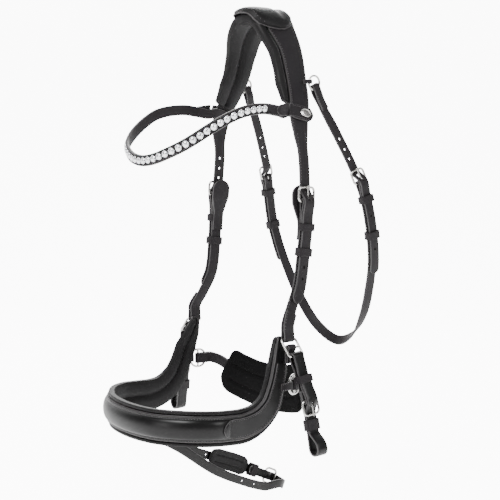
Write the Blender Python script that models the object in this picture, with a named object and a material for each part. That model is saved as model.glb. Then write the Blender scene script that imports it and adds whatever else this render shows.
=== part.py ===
"""Snaffle bridle: padded headpiece, V-shaped crystal browband, cheekpieces, throat lash,
padded noseband with chin strap and flash strap, and a bit strap on each side.

Frame: the origin is where the crown rests on the poll, +Z up, the horse's face towards -Y and
its left side towards +X.  Sizes are in millimetres and become metres in new_object().
Every strap lies on a master line, and a point on it is (s, u): s along the line, u outwards.
"""
import math

import bmesh
import bpy
import numpy as np
from mathutils import Vector

MM = 0.001
GAP = 0.4            # air between pieces that lie against each other

STRAP_WIDTH = 15.0   # cheekpieces, throat lash and bit straps
STRAP_THICK = 2.2    # one layer of a cheekpiece
BILLET_THICK = 2.6   # a strap end with holes
WIRE = 1.4           # radius of buckle wire
FRAME_LIFT = 3.1     # a buckle's plane above the line of its billet
FRAME_LENGTH = 17.0  # from a buckle's heel bar to its front bar
BILLET_LIFT = 6.15   # a billet's tail above its line, on top of the doubled strap
TONGUE_WIRE = 1.0
TONGUE_HOOK = 2.75   # radius at which a tongue hooks round its heel bar

BAND_HEIGHT = 13.0   # browband
BAND_THICK = 2.8
NOSE_THICK = 4.0     # noseband leather
PAD_THICK = 6.0      # padded liners

LEATHER = (0.045, 0.040, 0.043, 1.0)
LINING = (0.020, 0.019, 0.020, 1.0)
METAL = (0.78, 0.76, 0.72, 1.0)
CRYSTAL = (0.93, 0.94, 0.96, 1.0)


# ---------------------------------------------------------------- materials and objects

def make_material(name, color, roughness, metallic):
    material = bpy.data.materials.new(name)
    material.use_nodes = True
    shader = material.node_tree.nodes["Principled BSDF"]
    shader.inputs["Base Color"].default_value = color
    shader.inputs["Roughness"].default_value = roughness
    shader.inputs["Metallic"].default_value = metallic
    return material


def clear_scene():
    for old in list(bpy.data.objects):
        bpy.data.objects.remove(old, do_unlink=True)


def new_object(name, verts, faces, finish, pivot=(0.0, 0.0, 0.0)):
    """A closed mesh from points in millimetres, with its origin at the pivot."""
    pivot = np.array(pivot, float)
    mesh = bpy.data.meshes.new(name)
    mesh.from_pydata([tuple((np.array(v) - pivot) * MM) for v in verts], [], faces)
    work = bmesh.new()
    work.from_mesh(mesh)
    bmesh.ops.recalc_face_normals(work, faces=work.faces)
    if work.calc_volume(signed=True) < 0:
        bmesh.ops.reverse_faces(work, faces=work.faces)
    work.to_mesh(mesh)
    work.free()
    mesh.shade_smooth()
    mesh.set_sharp_from_angle(angle=math.radians(40))
    color, roughness, metallic = finish
    mesh.materials.append(make_material(name, color, roughness, metallic))
    obj = bpy.data.objects.new(name, mesh)
    obj.location = pivot * MM
    bpy.context.scene.collection.objects.link(obj)
    return obj


LEATHER_FINISH = (LEATHER, 0.55, 0.0)
LINING_FINISH = (LINING, 0.85, 0.0)
METAL_FINISH = (METAL, 0.22, 1.0)
CRYSTAL_FINISH = (CRYSTAL, 0.08, 0.0)


# ---------------------------------------------------------------- lines

def unit(v):
    return v / np.linalg.norm(v, axis=-1, keepdims=True)


def smooth(rows, step=2.0):
    """Rows of numbers read off a smooth curve through the given rows; a row starts x, y, z."""
    rows = np.array(rows, float)
    gaps = np.linalg.norm(np.diff(rows[:, :3], axis=0), axis=1)
    slopes = np.diff(rows, axis=0) / gaps[:, None]
    middle = (rows[2:] - rows[:-2]) / (gaps[1:] + gaps[:-1])[:, None]
    tangents = np.vstack([slopes[:1], middle, slopes[-1:]])
    out = []
    for i, gap in enumerate(gaps):
        count = max(1, int(math.ceil(gap / step)))
        for t in np.arange(count) / count:
            h1, h2 = 2*t**3 - 3*t**2 + 1, t**3 - 2*t**2 + t
            h3, h4 = -2*t**3 + 3*t**2, t**3 - t**2
            out.append(h1*rows[i] + h2*gap*tangents[i] + h3*rows[i+1] + h4*gap*tangents[i+1])
    out.append(rows[-1])
    return np.array(out)


class Line:
    """A smooth master line with an outward direction and a direction across its strap."""

    def __init__(self, rows, across=None, outward=None):
        self.points = smooth([r[:3] for r in rows], 1.0)
        steps = np.linalg.norm(np.diff(self.points, axis=0), axis=1)
        self.s = np.concatenate([[0.0], np.cumsum(steps)])
        self.length = self.s[-1]
        self.along = unit(np.gradient(self.points, self.s, axis=0))
        hint = across if across is not None else outward
        hint = np.array(hint, float)
        if hint.ndim == 2:
            stations = [self.nearest(r[:3]) for r in rows]
            hint = np.array([np.interp(self.s, stations, hint[:, k]) for k in range(3)]).T
        else:
            hint = np.tile(hint, (len(self.s), 1))
        side = unit(hint - np.sum(hint * self.along, axis=1)[:, None] * self.along)
        if across is not None:
            self.across, self.out = side, unit(np.cross(side, self.along))
        else:
            self.out, self.across = side, unit(np.cross(self.along, side))

    def nearest(self, point):
        return self.s[np.argmin(np.linalg.norm(self.points - np.array(point, float), axis=1))]

    def read(self, table, s):
        inside = np.clip(s, 0.0, self.length)
        return np.array([np.interp(inside, self.s, table[:, k]) for k in range(3)])

    def frame(self, s):
        """Point, along, across and out at s; the line runs on straight past its ends."""
        along, across, out = (unit(self.read(t, s)) for t in (self.along, self.across, self.out))
        point = self.read(self.points, s) + along * (s - np.clip(s, 0.0, self.length))
        return point, along, across, out

    def at(self, s, u=0.0, w=0.0):
        point, _, across, out = self.frame(s)
        return point + out * u + across * w

    def flipped(self):
        """The same line on the other side of the horse."""
        other = object.__new__(Line)
        other.s, other.length = self.s, self.length
        mirror = np.array([-1.0, 1.0, 1.0])
        other.points, other.along = self.points * mirror, self.along * mirror
        other.across, other.out = self.across * mirror, self.out * mirror
        return other


def arc(s, u, radius, start, end, count=7):
    """Points of an arc about (s, u), angles in degrees from +s towards +u."""
    angles = np.radians(np.linspace(start, end, count))
    return [(s + radius*math.cos(a), u + radius*math.sin(a)) for a in angles]


def thinned(rows, keep, turn=11.0, reach=24.0):
    """Fewer rows: one where the path has turned or run far enough, and the ones to keep."""
    rows = np.array(rows)
    along = unit(np.gradient(rows[:, :3], axis=0))
    chosen = [0]
    for i in range(1, len(rows) - 1):
        last = chosen[-1]
        angle = math.degrees(math.acos(np.clip(np.dot(along[i], along[last]), -1, 1)))
        far = np.linalg.norm(rows[i, :3] - rows[last, :3])
        if i in keep or angle > turn or far > reach:
            chosen.append(i)
    chosen.append(len(rows) - 1)
    return chosen


# ---------------------------------------------------------------- straps

def strap_mesh(path, across, out, widths, thick, slots=(), keep=()):
    """A flat strap along a path.  Each slot is (first row, last row, width)."""
    stations = thinned(np.hstack([path, across]), set(keep))
    slot_width = slots[0][2] if slots else 0.0
    verts, faces = [], []
    columns = 4 if slots else 2
    for i in stations:
        half = widths[i] / 2
        marks = [-half, -slot_width/2, slot_width/2, half] if slots else [-half, half]
        for lift in (-thick/2, thick/2):
            verts += [path[i] + across[i]*w + out[i]*lift for w in marks]

    def vert(row, layer, column):
        return (row*2 + layer)*columns + column

    def open_slot(row):
        if row < 0 or row >= len(stations) - 1:
            return False
        return any(a <= stations[row] < b for a, b, _ in slots)

    last = len(stations) - 1
    for row in range(last):
        for column in range(columns - 1):
            if column == 1 and open_slot(row):
                continue
            for layer in (0, 1):
                faces.append([vert(row, layer, column), vert(row, layer, column+1),
                              vert(row+1, layer, column+1), vert(row+1, layer, column)])
        walls = [0, columns-1] + ([1, 2] if open_slot(row) else [])
        for column in walls:
            faces.append([vert(row, 0, column), vert(row, 1, column),
                          vert(row+1, 1, column), vert(row+1, 0, column)])
    for row in range(len(stations)):
        if columns == 4 and open_slot(row) != open_slot(row-1):
            faces.append([vert(row, 0, 1), vert(row, 1, 1), vert(row, 1, 2), vert(row, 0, 2)])
    for row in (0, last):
        for column in range(columns - 1):
            faces.append([vert(row, 0, column), vert(row, 1, column),
                          vert(row, 1, column+1), vert(row, 0, column+1)])
    return verts, faces


def width_rows(path, width):
    """Widths along a path: one number, or (distance along, width) pairs."""
    if np.isscalar(width):
        return np.full(len(path), float(width))
    steps = np.linalg.norm(np.diff(path, axis=0), axis=1)
    run = np.concatenate([[0.0], np.cumsum(steps)])
    run = run / run[-1]
    marks = np.array(width, float)
    return np.interp(run, marks[:, 0], marks[:, 1])


def lay_path(name, path, across, width, thick, finish=LEATHER_FINISH, slots=()):
    """A strap along a path in space; a slot is (point near its middle, length, width)."""
    path = np.array(path, float)
    along = unit(np.gradient(path, axis=0))
    across = np.broadcast_to(np.array(across, float), path.shape)
    across = unit(across - np.sum(across*along, axis=1)[:, None]*along)
    run = np.concatenate([[0.0], np.cumsum(np.linalg.norm(np.diff(path, axis=0), axis=1))])
    cuts, keep = [], []
    for middle, length, slot_width in slots:
        centre = run[np.argmin(np.linalg.norm(path - middle, axis=1))]
        first = int(np.searchsorted(run, centre - length/2))
        last = int(np.searchsorted(run, centre + length/2))
        cuts.append((first, last, slot_width))
        keep += [first, last]
    verts, faces = strap_mesh(path, across, np.cross(across, along), width_rows(path, width), thick,
                              cuts, keep)
    return new_object(name, verts, faces, finish)


def lay_strap(name, line, profile, width, thick, finish=LEATHER_FINISH, slots=(), shift=0.0):
    """A strap whose side view is the profile of (s, u) points on a master line.

    A slot is (s, u, length, width): it is cut where the strap passes nearest to (s, u)."""
    flat = smooth([(s, u, 0.0) for s, u in profile], 1.5)
    path = [line.at(s, u, shift) for s, u, _ in flat]
    across = [line.frame(s)[2] for s, _, _ in flat]
    cuts = [(line.at(s, u, shift), length, wide) for s, u, length, wide in slots]
    return lay_path(name, path, across, width, thick, finish, cuts)


# ---------------------------------------------------------------- hardware

def tube(name, points, radius, closed, reference, finish=METAL_FINISH, sides=6, pivot=(0, 0, 0)):
    """A round wire through points; reference is a direction that stays off its run."""
    points = np.array(points, float)
    if closed:
        along = unit(np.roll(points, -1, axis=0) - np.roll(points, 1, axis=0))
    else:
        along = unit(np.gradient(points, axis=0))
    first = unit(np.cross(along, np.array(reference, float)))
    second = np.cross(along, first)
    verts, faces = [], []
    for p, a, b in zip(points, first, second):
        for k in range(sides):
            angle = 2*math.pi*k/sides
            verts.append(p + radius*(a*math.cos(angle) + b*math.sin(angle)))
    count = len(points)
    for i in range(count if closed else count - 1):
        j = (i + 1) % count
        for k in range(sides):
            n = (k + 1) % sides
            faces.append([i*sides + k, i*sides + n, j*sides + n, j*sides + k])
    if not closed:
        faces.append(list(range(sides)))
        faces.append([(count-1)*sides + k for k in range(sides)])
    return new_object(name, verts, faces, finish, pivot)


def rounded_loop(width, height, corner, per_corner=3):
    """Points of a rounded rectangle about (0, 0)."""
    points = []
    for cx, cy, start in ((1, 1, 0), (-1, 1, 90), (-1, -1, 180), (1, -1, 270)):
        for k in range(per_corner + 1):
            a = math.radians(start + 90*k/per_corner)
            points.append((cx*(width/2 - corner) + corner*math.cos(a),
                           cy*(height/2 - corner) + corner*math.sin(a)))
    return points


def heel_frame(line, heel, lift, toward):
    """Heel bar's centre and the directions to the front bar, across and out."""
    base, _, across, out = line.frame(heel)
    front = unit(line.at(heel + toward*FRAME_LENGTH) - base)
    return base + out*lift, front, across, unit(out - np.dot(out, front)*front)


def buckle(name, line, heel, width, lift=FRAME_LIFT, toward=-1):
    """A wire buckle over a line; its front bar lies toward -s or +s of its heel bar."""
    pivot, front, across, out = heel_frame(line, heel, lift, toward)
    centre = pivot + front*FRAME_LENGTH/2
    loop = [centre + across*x + front*y for x, y in rounded_loop(width, FRAME_LENGTH, 4.5)]
    return tube(name, loop, WIRE, True, out)


def tongue(name, line, heel, lift=FRAME_LIFT, toward=-1):
    """A wire tongue hooked round the heel bar, its tip over the front bar."""
    profile = arc(0, 0, TONGUE_HOOK, -145, 90, 9)
    profile += [(-4, 2.8), (-9, 2.85), (-FRAME_LENGTH - 1.8, 2.85)]
    pivot, front, across, out = heel_frame(line, heel, lift, toward)
    flat = smooth([(s, u, 0.0) for s, u in profile], 1.8)[:, :2]
    points = [pivot - front*s + out*u for s, u in flat]
    return tube(name, points, TONGUE_WIRE, False, across, pivot=pivot)


def keeper(name, line, s, low, high, width, length=8.0, thick=1.4, finish=LEATHER_FINISH):
    """A leather loop round a stack that reaches from low to high above its line."""
    point, along, across, out = line.frame(s)
    centre = point + out*(low + high)/2
    inner = rounded_loop(width, high - low, 1.2, 2)
    outer = rounded_loop(width + 2*thick, high - low + 2*thick, 1.2 + thick, 2)
    verts, faces = [], []
    for end in (-length/2, length/2):
        for ring in (inner, outer):
            verts += [centre + across*x + out*y + along*end for x, y in ring]
    n = len(inner)
    for k in range(n):
        m = (k + 1) % n
        faces += [[k, m, n+m, n+k], [2*n+k, 2*n+m, 3*n+m, 3*n+k],
                  [k, m, 2*n+m, 2*n+k], [n+k, n+m, 3*n+m, 3*n+k]]
    return new_object(name, verts, faces, finish)


def disc(name, centre, normal, upward, width, height, thick, finish):
    """A flat oval button."""
    normal = unit(np.array(normal, float))
    side = unit(np.cross(upward, normal))
    up = np.cross(normal, side)
    verts, faces = [], []
    count = 20
    for lift in (0.0, thick):
        for k in range(count):
            a = 2*math.pi*k/count
            verts.append(np.array(centre) + side*width/2*math.cos(a) + up*height/2*math.sin(a)
                         + normal*lift)
    faces.append(list(range(count)))
    faces.append(list(range(count, 2*count)))
    for k in range(count):
        m = (k + 1) % count
        faces.append([k, m, count + m, count + k])
    return new_object(name, verts, faces, finish)


def join_bar(frame_object, name, start, end, radius=WIRE):
    """Welds a straight bar into a wire frame with a Boolean union."""
    start, end = np.array(start, float), np.array(end, float)
    run = unit(end - start)
    reference = np.array([0.3, 0.4, 1.0]) if abs(run[2]) < 0.8 else np.array([1.0, 0.4, 0.3])
    bar = tube(name, [start, (start + end)/2, end], radius, False, reference)
    bar.hide_render = True
    bar.display_type = "WIRE"
    weld = frame_object.modifiers.new("Weld bar", "BOOLEAN")
    weld.operation = "UNION"
    weld.object = bar


# ---------------------------------------------------------------- master lines

HEAD_ROWS = [  # x, y, z and the leather's width, from the poll down the left leg
    (0, 0, 13.5, 50), (15.5, 0, 10.5, 49), (30, -0.5, -3.5, 42), (44, 3, -29, 33),
    (57.5, 1.2, -66, 29), (71, -5.5, -93, 27), (75.5, -10.5, -106, 27), (78.5, -11.5, -118, 25),
    (80.2, -11.6, -127, 22)]
LINER_ROWS = [  # distance from the poll, centre across and width of the padding
    (0, -5.5, 63), (25, -5.9, 60), (54, -9.0, 47), (75, -9.2, 42), (95, -9, 39),
    (113, -9.7, 38), (133, -7.1, 33), (143, -7.7, 27)]
CAP_FRONT = ([0, 14, 22, 30, 38], [-40, -39, -31, -17, -3])  # the cover's edges, by distance
CAP_REAR = ([0, 22, 30, 35, 38], [18, 18, 15, 9, 1])      # from the poll
CHEEK_ROWS = [(80.3, -11.6, -127.6), (81.2, -11.5, -134), (82.4, -10.4, -146),
              (83.8, -9.2, -162.6), (86.5, -9.8, -192),
              (87.4, -10.6, -212), (87.5, -11.5, -240), (86.3, -14.2, -270.7), (86, -20, -310),
              (89.4, -33, -337), (93.9, -42.4, -354), (94.6, -42.7, -364)]
THROAT_ROWS = [(67.0, 23.8, -77.5), (68.0, 30, -92), (76, 50, -130), (87.4, 73.3, -181.4),
               (92.5, 83, -215),
               (94, 90.2, -250), (89, 99, -288), (78, 106, -322), (60, 113.5, -360),
               (35, 119.5, -390), (0, 123, -405)]
BROW_ROWS = [(80.6, -46, -103.5), (80.8, -66, -101), (83.5, -88, -102.5), (83.2, -107, -107),
             (79, -124, -114.8), (73.6, -141, -125), (66.5, -155, -135), (56.5, -166, -143.6),
             (41, -174.5, -151.3), (21, -180, -158), (0, -181.5, -160.5)]
NOSE_ROWS = [  # x, y, z, leather width, liner width; the left side from its tip to the front
    (87.5, -48.5, -368, 6, 8), (92.5, -52, -386, 15, 20), (98, -57.5, -405, 21, 29),
    (100.5, -65, -427, 23, 30), (102, -74, -445, 26, 35), (102, -90, -458, 28, 38),
    (102, -110, -463.5, 29, 41), (101.5, -134, -463, 29, 41), (97, -157, -461.5, 29, 41),
    (80, -182, -460.5, 29, 41), (47, -202, -461, 29, 41), (0, -208.5, -461.5, 29, 41)]
CHIN_ROWS = [(96.2, -25.5, -425.5), (94.2, -17.7, -425.6), (88, -8, -430), (74, -1, -438),
             (45, 4, -446), (0, 5, -450)]
BIT_ROWS = [(109.0, -43.2, -386), (117.3, -40.5, -415), (125.3, -38, -443), (132, -36.5, -473),
            (137, -36, -497)]
FLASH_ROWS = [(-13.5, 4, -568.5), (-15.5, -20, -557), (-16, -42, -546), (-15, -88, -527),
              (-13.5, -140, -503), (-12.5, -168, -487), (-8.5, -185, -479),
              (0, -189.5, -477), (8.5, -185, -479.5), (12.5, -168, -488), (13.5, -140, -505),
              (15, -90, -541), (15, -42, -565), (14, -12, -577)]
LINK_TOP = np.array([95.5, -42.7, -370.5])
LINK_BOTTOM = np.array([111.5, -42.3, -389.0])
LINK_MIDDLE = (LINK_TOP + LINK_BOTTOM) / 2


def both_sides(rows):
    """A left half from its end to the middle, carried on over the right half."""
    rows = [list(map(float, r)) for r in rows]
    return rows + [[-r[0]] + r[1:] for r in reversed(rows[:-1])]


HEAD = Line(both_sides(HEAD_ROWS[::-1]), across=(0, 1, 0))
CHEEK = Line(CHEEK_ROWS, across=(0, -1, 0))
ALONG_JAW = [(0, -0.95, -0.31)]*6
THROAT_ACROSS = (ALONG_JAW + [(-0.1, -0.92, -0.38), (-0.3, -0.8, -0.5), (-0.4, -0.66, -0.64),
                              (-0.32, -0.5, -0.8), (-0.15, -0.4, -0.9), (0, -0.42, -0.91),
                              (0, -0.55, -0.83), (0, -0.72, -0.69), (0, -0.9, -0.43)] + ALONG_JAW)
THROAT = Line(both_sides(THROAT_ROWS), across=THROAT_ACROSS)
BROW = Line(both_sides(BROW_ROWS), across=(0, 0, 1))
NOSE_OUT = [(x, min(y + 90, 0), 0) for x, y, *_ in both_sides(NOSE_ROWS)]
NOSE = Line(both_sides(NOSE_ROWS), outward=NOSE_OUT)
CHIN = Line(both_sides(CHIN_ROWS), across=(0, 0, -1))
BIT = Line(BIT_ROWS, across=(0, -1, 0))
FLASH = Line(FLASH_ROWS, across=(0, -0.42, -0.9))


# ---------------------------------------------------------------- shared strap shapes

def billet_profile(start, heel, end):
    """Side view of a billet: behind the front bar, through the frame and over the heel bar."""
    return [(start, 0), (heel - 30, 0), (heel - 19, 0), (heel - 13, 0.7), (heel - 6.2, 5.7),
            (heel - 3.2, 8.3), (heel, 9.2), (heel + 4, 8.8), (heel + 14, 6.7),
            (heel + 24, BILLET_LIFT), (end, BILLET_LIFT)]


def billet_slot(heel):
    return (heel - 6.4, 5.5, 12.0, 3.6)


def chape_slot(heel):
    return (heel - 2.95, FRAME_LIFT, 20.0, 3.6)


def chape_profile(heel, end):
    """Side view of a doubled strap whose fold holds the heel bar, from its short end."""
    return ([(end, 3.35), (heel + 14, 3.5), (heel + 6, 5.0)]
            + arc(heel, FRAME_LIFT, 2.95, 75, 285, 9)
            + [(heel + 6, 0.45), (heel + 14, 0.75), (heel + 24, 0.75)])


def placed(line, side):
    return line if side == "left" else line.flipped()


def mirrored(point, side):
    return np.array(point) * (np.array([1, 1, 1]) if side == "left" else np.array([-1, 1, 1]))


# ---------------------------------------------------------------- headpiece

def line_widths(line, rows, column):
    """Widths for lay_strap from a column of rows that were used to draw the line."""
    return [(line.nearest(r[:3])/line.length, r[column]) for r in rows]


def headpiece():
    widths = line_widths(HEAD, both_sides(HEAD_ROWS[::-1]), 3)
    lay_strap("headpiece_leather", HEAD, [(0, 0), (HEAD.length/2, 0), (HEAD.length, 0)], widths, 3.0)
    padding()
    crown_cap()


def padding():
    """The padded lining under the headpiece, thicker over the poll."""
    half = HEAD.length / 2
    rows = [(half + d, centre, width) for d, centre, width in LINER_ROWS]
    rows = [(half - d, centre, width) for d, centre, width in reversed(LINER_ROWS)] + rows[1:]
    verts, faces = [], []
    stations = np.linspace(rows[0][0], rows[-1][0], 31)
    table = np.array(rows)
    for s in stations:
        point, along, across, out = HEAD.frame(s)
        centre = np.interp(s, table[:, 0], table[:, 1])
        width = np.interp(s, table[:, 0], table[:, 2])
        thick = np.interp(abs(s - half), [0, 20, 60], [9.7, 8.0, PAD_THICK])
        top = -(1.5 + 2*GAP)
        for w, u in ((-width/2, top - thick/2), (-width/2 + 3, top), (width/2 - 3, top),
                     (width/2, top - thick/2), (width/2 - 3, top - thick), (0, top - thick + 1.5),
                     (-width/2 + 3, top - thick)):
            verts.append(point + across*(w + centre) + out*u)
    ring = 7
    for i in range(len(stations) - 1):
        for k in range(ring):
            n = (k + 1) % ring
            faces.append([i*ring + k, i*ring + n, (i+1)*ring + n, (i+1)*ring + k])
    faces.append(list(range(ring)))
    faces.append([(len(stations)-1)*ring + k for k in range(ring)])
    new_object("headpiece_liner", verts, faces, LINING_FINISH)


def crown_cap():
    """The padded cover over the poll, with a roll in front and behind and a dip between."""
    half = HEAD.length / 2
    verts, faces = [], []
    base = 1.5 + 2*GAP
    stations = np.linspace(-37, 37, 17)
    section = [(0.0, 0.0), (0.01, 0.5), (0.12, 1.0), (0.45, 1.1), (0.73, 0.55), (0.88, 1.05),
               (0.985, 0.5), (1.0, 0.0)]
    for d in stations:
        point, along, across, out = HEAD.frame(half + d)
        round_off = math.sqrt(max(0.0, 1 - (d/39.0)**4))
        front = np.interp(abs(d), *CAP_FRONT)
        rear = np.interp(abs(d), *CAP_REAR)
        for f, u in section:
            rise = base + 1.2*(u > 0) + u*6.0*round_off
            verts.append(point + across*(front + (rear - front)*f) + out*rise)
    ring = len(section)
    for i in range(len(stations) - 1):
        for k in range(ring):
            n = (k + 1) % ring
            faces.append([i*ring + k, i*ring + n, (i+1)*ring + n, (i+1)*ring + k])
    faces.append(list(range(ring)))
    faces.append([(len(stations)-1)*ring + k for k in range(ring)])
    new_object("crown_cap", verts, faces, LEATHER_FINISH)


# ---------------------------------------------------------------- throat lash

RING_CENTRE = np.array([67.0, 21.0, -69.0])
RING_RADIUS = 8.4
RING_WIRE = 1.3


def throat_ring(side):
    centre = mirrored(RING_CENTRE, side)
    points = [centre + np.array([0, RING_RADIUS*math.cos(a), RING_RADIUS*math.sin(a)])
              for a in np.linspace(0, 2*math.pi, 24, endpoint=False)]
    tube("throat_ring_" + side, points, RING_WIRE, True, (1, 0, 0), pivot=centre)


def ring_tab(side):
    """A leather tab on the headpiece's face, folded round the front of the throat ring."""
    ring_y = RING_CENTRE[1] - RING_RADIUS
    x, fold_y, z = RING_CENTRE[0], ring_y + 1.5, RING_CENTRE[2] + 1.2
    path = [(x - 2.4, 6.5), (x - 2.4, 9.5), (x - 2.4, fold_y - 1)]
    path += [(x - 2.4*math.cos(a), fold_y + 2.4*math.sin(a)) for a in np.linspace(0.2, 2.94, 7)]
    path += [(x + 2.4, fold_y - 1), (x + 1.6, 10.5), (x - 0.3, 8.5), (x - 0.5, 6)]
    path = smooth([mirrored((px, py, z), side) for px, py in path], 1.0)
    lay_path("ring_tab_" + side, path, (0, 0, 1), 6.0, 1.4)


THROAT_HEEL = 127.0
THROAT_TIP = 243.0


def throat_lash():
    for side in ("left", "right"):
        line = placed(THROAT, side)
        throat_ring(side)
        ring_tab(side)
        point, along, across, out = line.frame(0)
        low = mirrored(RING_CENTRE + RING_RADIUS*np.array([0, 0.31, -0.95]), side) - point
        cs, cu = float(np.dot(low, along)) - 3.0, float(np.dot(low, out))
        profile = ([(26, 3.2), (14, 3.3), (cs + 7, cu + 3.2)]
                   + arc(cs, cu, 3.1, 80, 280, 9)
                   + [(cs + 7, cu - 3.0), (16, 0.0)]
                   + billet_profile(24, THROAT_HEEL, THROAT_TIP))
        lay_strap("throat_billet_" + side, line, profile,
                  [(0, 10), (0.14, 10), (0.3, 13), (0.95, 13), (0.98, 11), (1, 5)],
                  BILLET_THICK - 0.4, slots=[billet_slot(THROAT_HEEL)])
        buckle("throat_buckle_" + side, line, THROAT_HEEL, 20)
        tongue("throat_tongue_" + side, line, THROAT_HEEL)
        keeper("throat_keeper_" + side, line, THROAT_HEEL + 66, -1.2, 8.4, 14.6)
    total = THROAT.length
    left = chape_profile(THROAT_HEEL, THROAT_HEEL + 26)
    right = [(total - s, u) for s, u in reversed(left)]
    middle = [(THROAT_HEEL + 60, 0.75), (total/2, 0.75), (total - THROAT_HEEL - 60, 0.75)]
    s, u, length, wide = chape_slot(THROAT_HEEL)
    lay_strap("throat_strap", THROAT, left + middle + right, 13, STRAP_THICK,
              slots=[(s, u, length, wide), (total - s, u, length, wide)])


# ---------------------------------------------------------------- browband

LOOP_AIR = 1.0       # slack between a leg and the browband's loop round it
LEG_CROSSING = (74.6, -8.6, -107)


def leg_frame(side):
    """Point, along, across and out of the headpiece where the browband crosses a leg."""
    return HEAD.frame(HEAD.nearest(mirrored(LEG_CROSSING, side)))


def beside_leg(side, lift, ys):
    """Points beside a leg, a lift above its leather and at given places along Y."""
    point, _, across, out = leg_frame(side)
    return [point + out*lift + across*(y - point[1]) for y in ys]


def up_leg(side):
    along = leg_frame(side)[1]
    return along if along[2] > 0 else -along


def browband_line():
    """Behind the left leg's leather, round the forehead and behind the right leg's leather."""
    inner = -(1.5 + LOOP_AIR + BAND_THICK/2)
    left = beside_leg("left", inner, (9, -2, -14, -24))
    right = beside_leg("right", inner, (-24, -14, -2, 9))
    middle = both_sides([(74.8, -33.5, -106), (78.6, -41, -104.6)] + BROW_ROWS)
    upright = [np.array([0.0, 0.0, 1.0])]*len(middle)
    return Line(left + [np.array(r) for r in middle] + right,
                across=[up_leg("left")]*4 + upright + [up_leg("right")]*4)


def browband():
    line = browband_line()
    total = line.length
    lay_strap("browband", line, [(0, 0), (total/2, 0), (total, 0)],
              [(0, 9), (0.05, 11), (0.12, BAND_HEIGHT), (0.88, BAND_HEIGHT), (0.95, 11), (1, 9)],
              BAND_THICK)
    start, end = line.nearest((80.8, -65, -101)), line.nearest((-80.8, -65, -101))
    lift = BAND_THICK/2 + 0.8 + 0.85
    outward = 1.0 if line.frame(start)[3][0] > 0 else -1.0
    lift *= outward
    lay_strap("crystal_strip", line, [(start, lift), (total/2, lift), (end, lift)], 8.5, 1.6,
              finish=CRYSTAL_FINISH)


def browband_end(side):
    """The flap outside the leg, hinged at the leg's front edge and snapped behind it."""
    lift = 1.5 + LOOP_AIR + 1.2
    line = Line(beside_leg(side, lift, (-27, -18, -8, 0, 8)), across=up_leg(side))
    lay_strap("browband_end_" + side, line, [(0, 0), (line.length, 0)],
              [(0, 15), (0.3, 18), (0.85, 18), (1, 13)], 2.4)
    out = leg_frame(side)[3]
    disc("badge_" + side, beside_leg(side, lift + 1.2 + GAP, (-4.5,))[0], out, up_leg(side),
         16.0, 10.5, 1.8, METAL_FINISH)


# ---------------------------------------------------------------- cheekpieces

CHEEK_HEEL = 83.0
CHEEK_TIP = 206.0


def cheekpiece(side):
    line = placed(CHEEK, side)
    lay_strap("cheek_billet_" + side, line, billet_profile(0.6, CHEEK_HEEL, CHEEK_TIP),
              [(0, 22), (0.045, 18.2), (0.09, STRAP_WIDTH), (0.95, STRAP_WIDTH), (0.98, 12), (1, 5)],
              BILLET_THICK, slots=[billet_slot(CHEEK_HEEL)])
    buckle("cheek_buckle_" + side, line, CHEEK_HEEL, 23)
    tongue("cheek_tongue_" + side, line, CHEEK_HEEL)
    keeper("cheek_keeper_" + side, line, CHEEK_HEEL + 60, -1.1, 8.4, STRAP_WIDTH + 1.6)
    point, along, _, out = line.frame(line.length)
    offset = mirrored(LINK_TOP, side) - point
    s, u = line.length + float(np.dot(offset, along)), float(np.dot(offset, out))
    profile = chape_profile(CHEEK_HEEL, CHEEK_HEEL + 27)
    profile += [(CHEEK_HEEL + 60, 0.75), (line.length - 32, 0.5), (s - 9, u - 2.4)]
    profile += arc(s, u, 3.1, -80, 80, 9)
    profile += [(s - 9, u + 2.6), (s - 18, 3.3), (s - 32, 3.3)]
    lay_strap("cheek_strap_" + side, line, profile, STRAP_WIDTH, STRAP_THICK,
              slots=[chape_slot(CHEEK_HEEL)])
    buckle_guard(side, line)
    link(side)


def buckle_guard(side, line):
    """The rounded leather pad between the buckle and the horse's cheek."""
    profile = [(CHEEK_HEEL - 20, -7.4), (CHEEK_HEEL - 2, -7.4), (CHEEK_HEEL + 14, -5.2),
               (CHEEK_HEEL + 30, -2.6), (CHEEK_HEEL + 46, -2.2)]
    widths = [(0, 12), (0.05, 21), (0.14, 26), (0.34, 26), (0.5, 20), (0.64, STRAP_WIDTH),
              (1, STRAP_WIDTH)]
    lay_strap("buckle_guard_" + side, line, profile, widths, 2.4)


def link(side):
    """The metal link: cheekpiece on its top bar, noseband in the middle, bit strap below."""
    top, bottom = mirrored(LINK_TOP, side), mirrored(LINK_BOTTOM, side)
    middle = (top + bottom)/2
    down = unit(bottom - top)
    across = np.array([0.0, 1.0, 0.0])
    height = float(np.linalg.norm(bottom - top))
    loop = [middle + across*x + down*y for x, y in rounded_loop(21.4, height, 3.6)]
    normal = np.cross(across, down)
    frame_object = tube("cheek_link_" + side, loop, WIRE, True, normal)
    join_bar(frame_object, "link_bar_" + side, middle - across*10.6, middle + across*10.6, 1.3)


# ---------------------------------------------------------------- noseband

def nose_profile(lift):
    return [(0, lift), (NOSE.length/2, lift), (NOSE.length, lift)]


def noseband():
    lay_strap("noseband_leather", NOSE, nose_profile(0),
              line_widths(NOSE, both_sides(NOSE_ROWS), 3), NOSE_THICK)
    liner_lift = -(NOSE_THICK/2 + 2*GAP + PAD_THICK/2)
    lay_strap("noseband_liner", NOSE, nose_profile(liner_lift),
              line_widths(NOSE, both_sides(NOSE_ROWS), 4), PAD_THICK, finish=LINING_FINISH)
    for side in ("left", "right"):
        noseband_tab(side)
        chin_tab(side)
        chin_ring(side)
    flash_loop()


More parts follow.
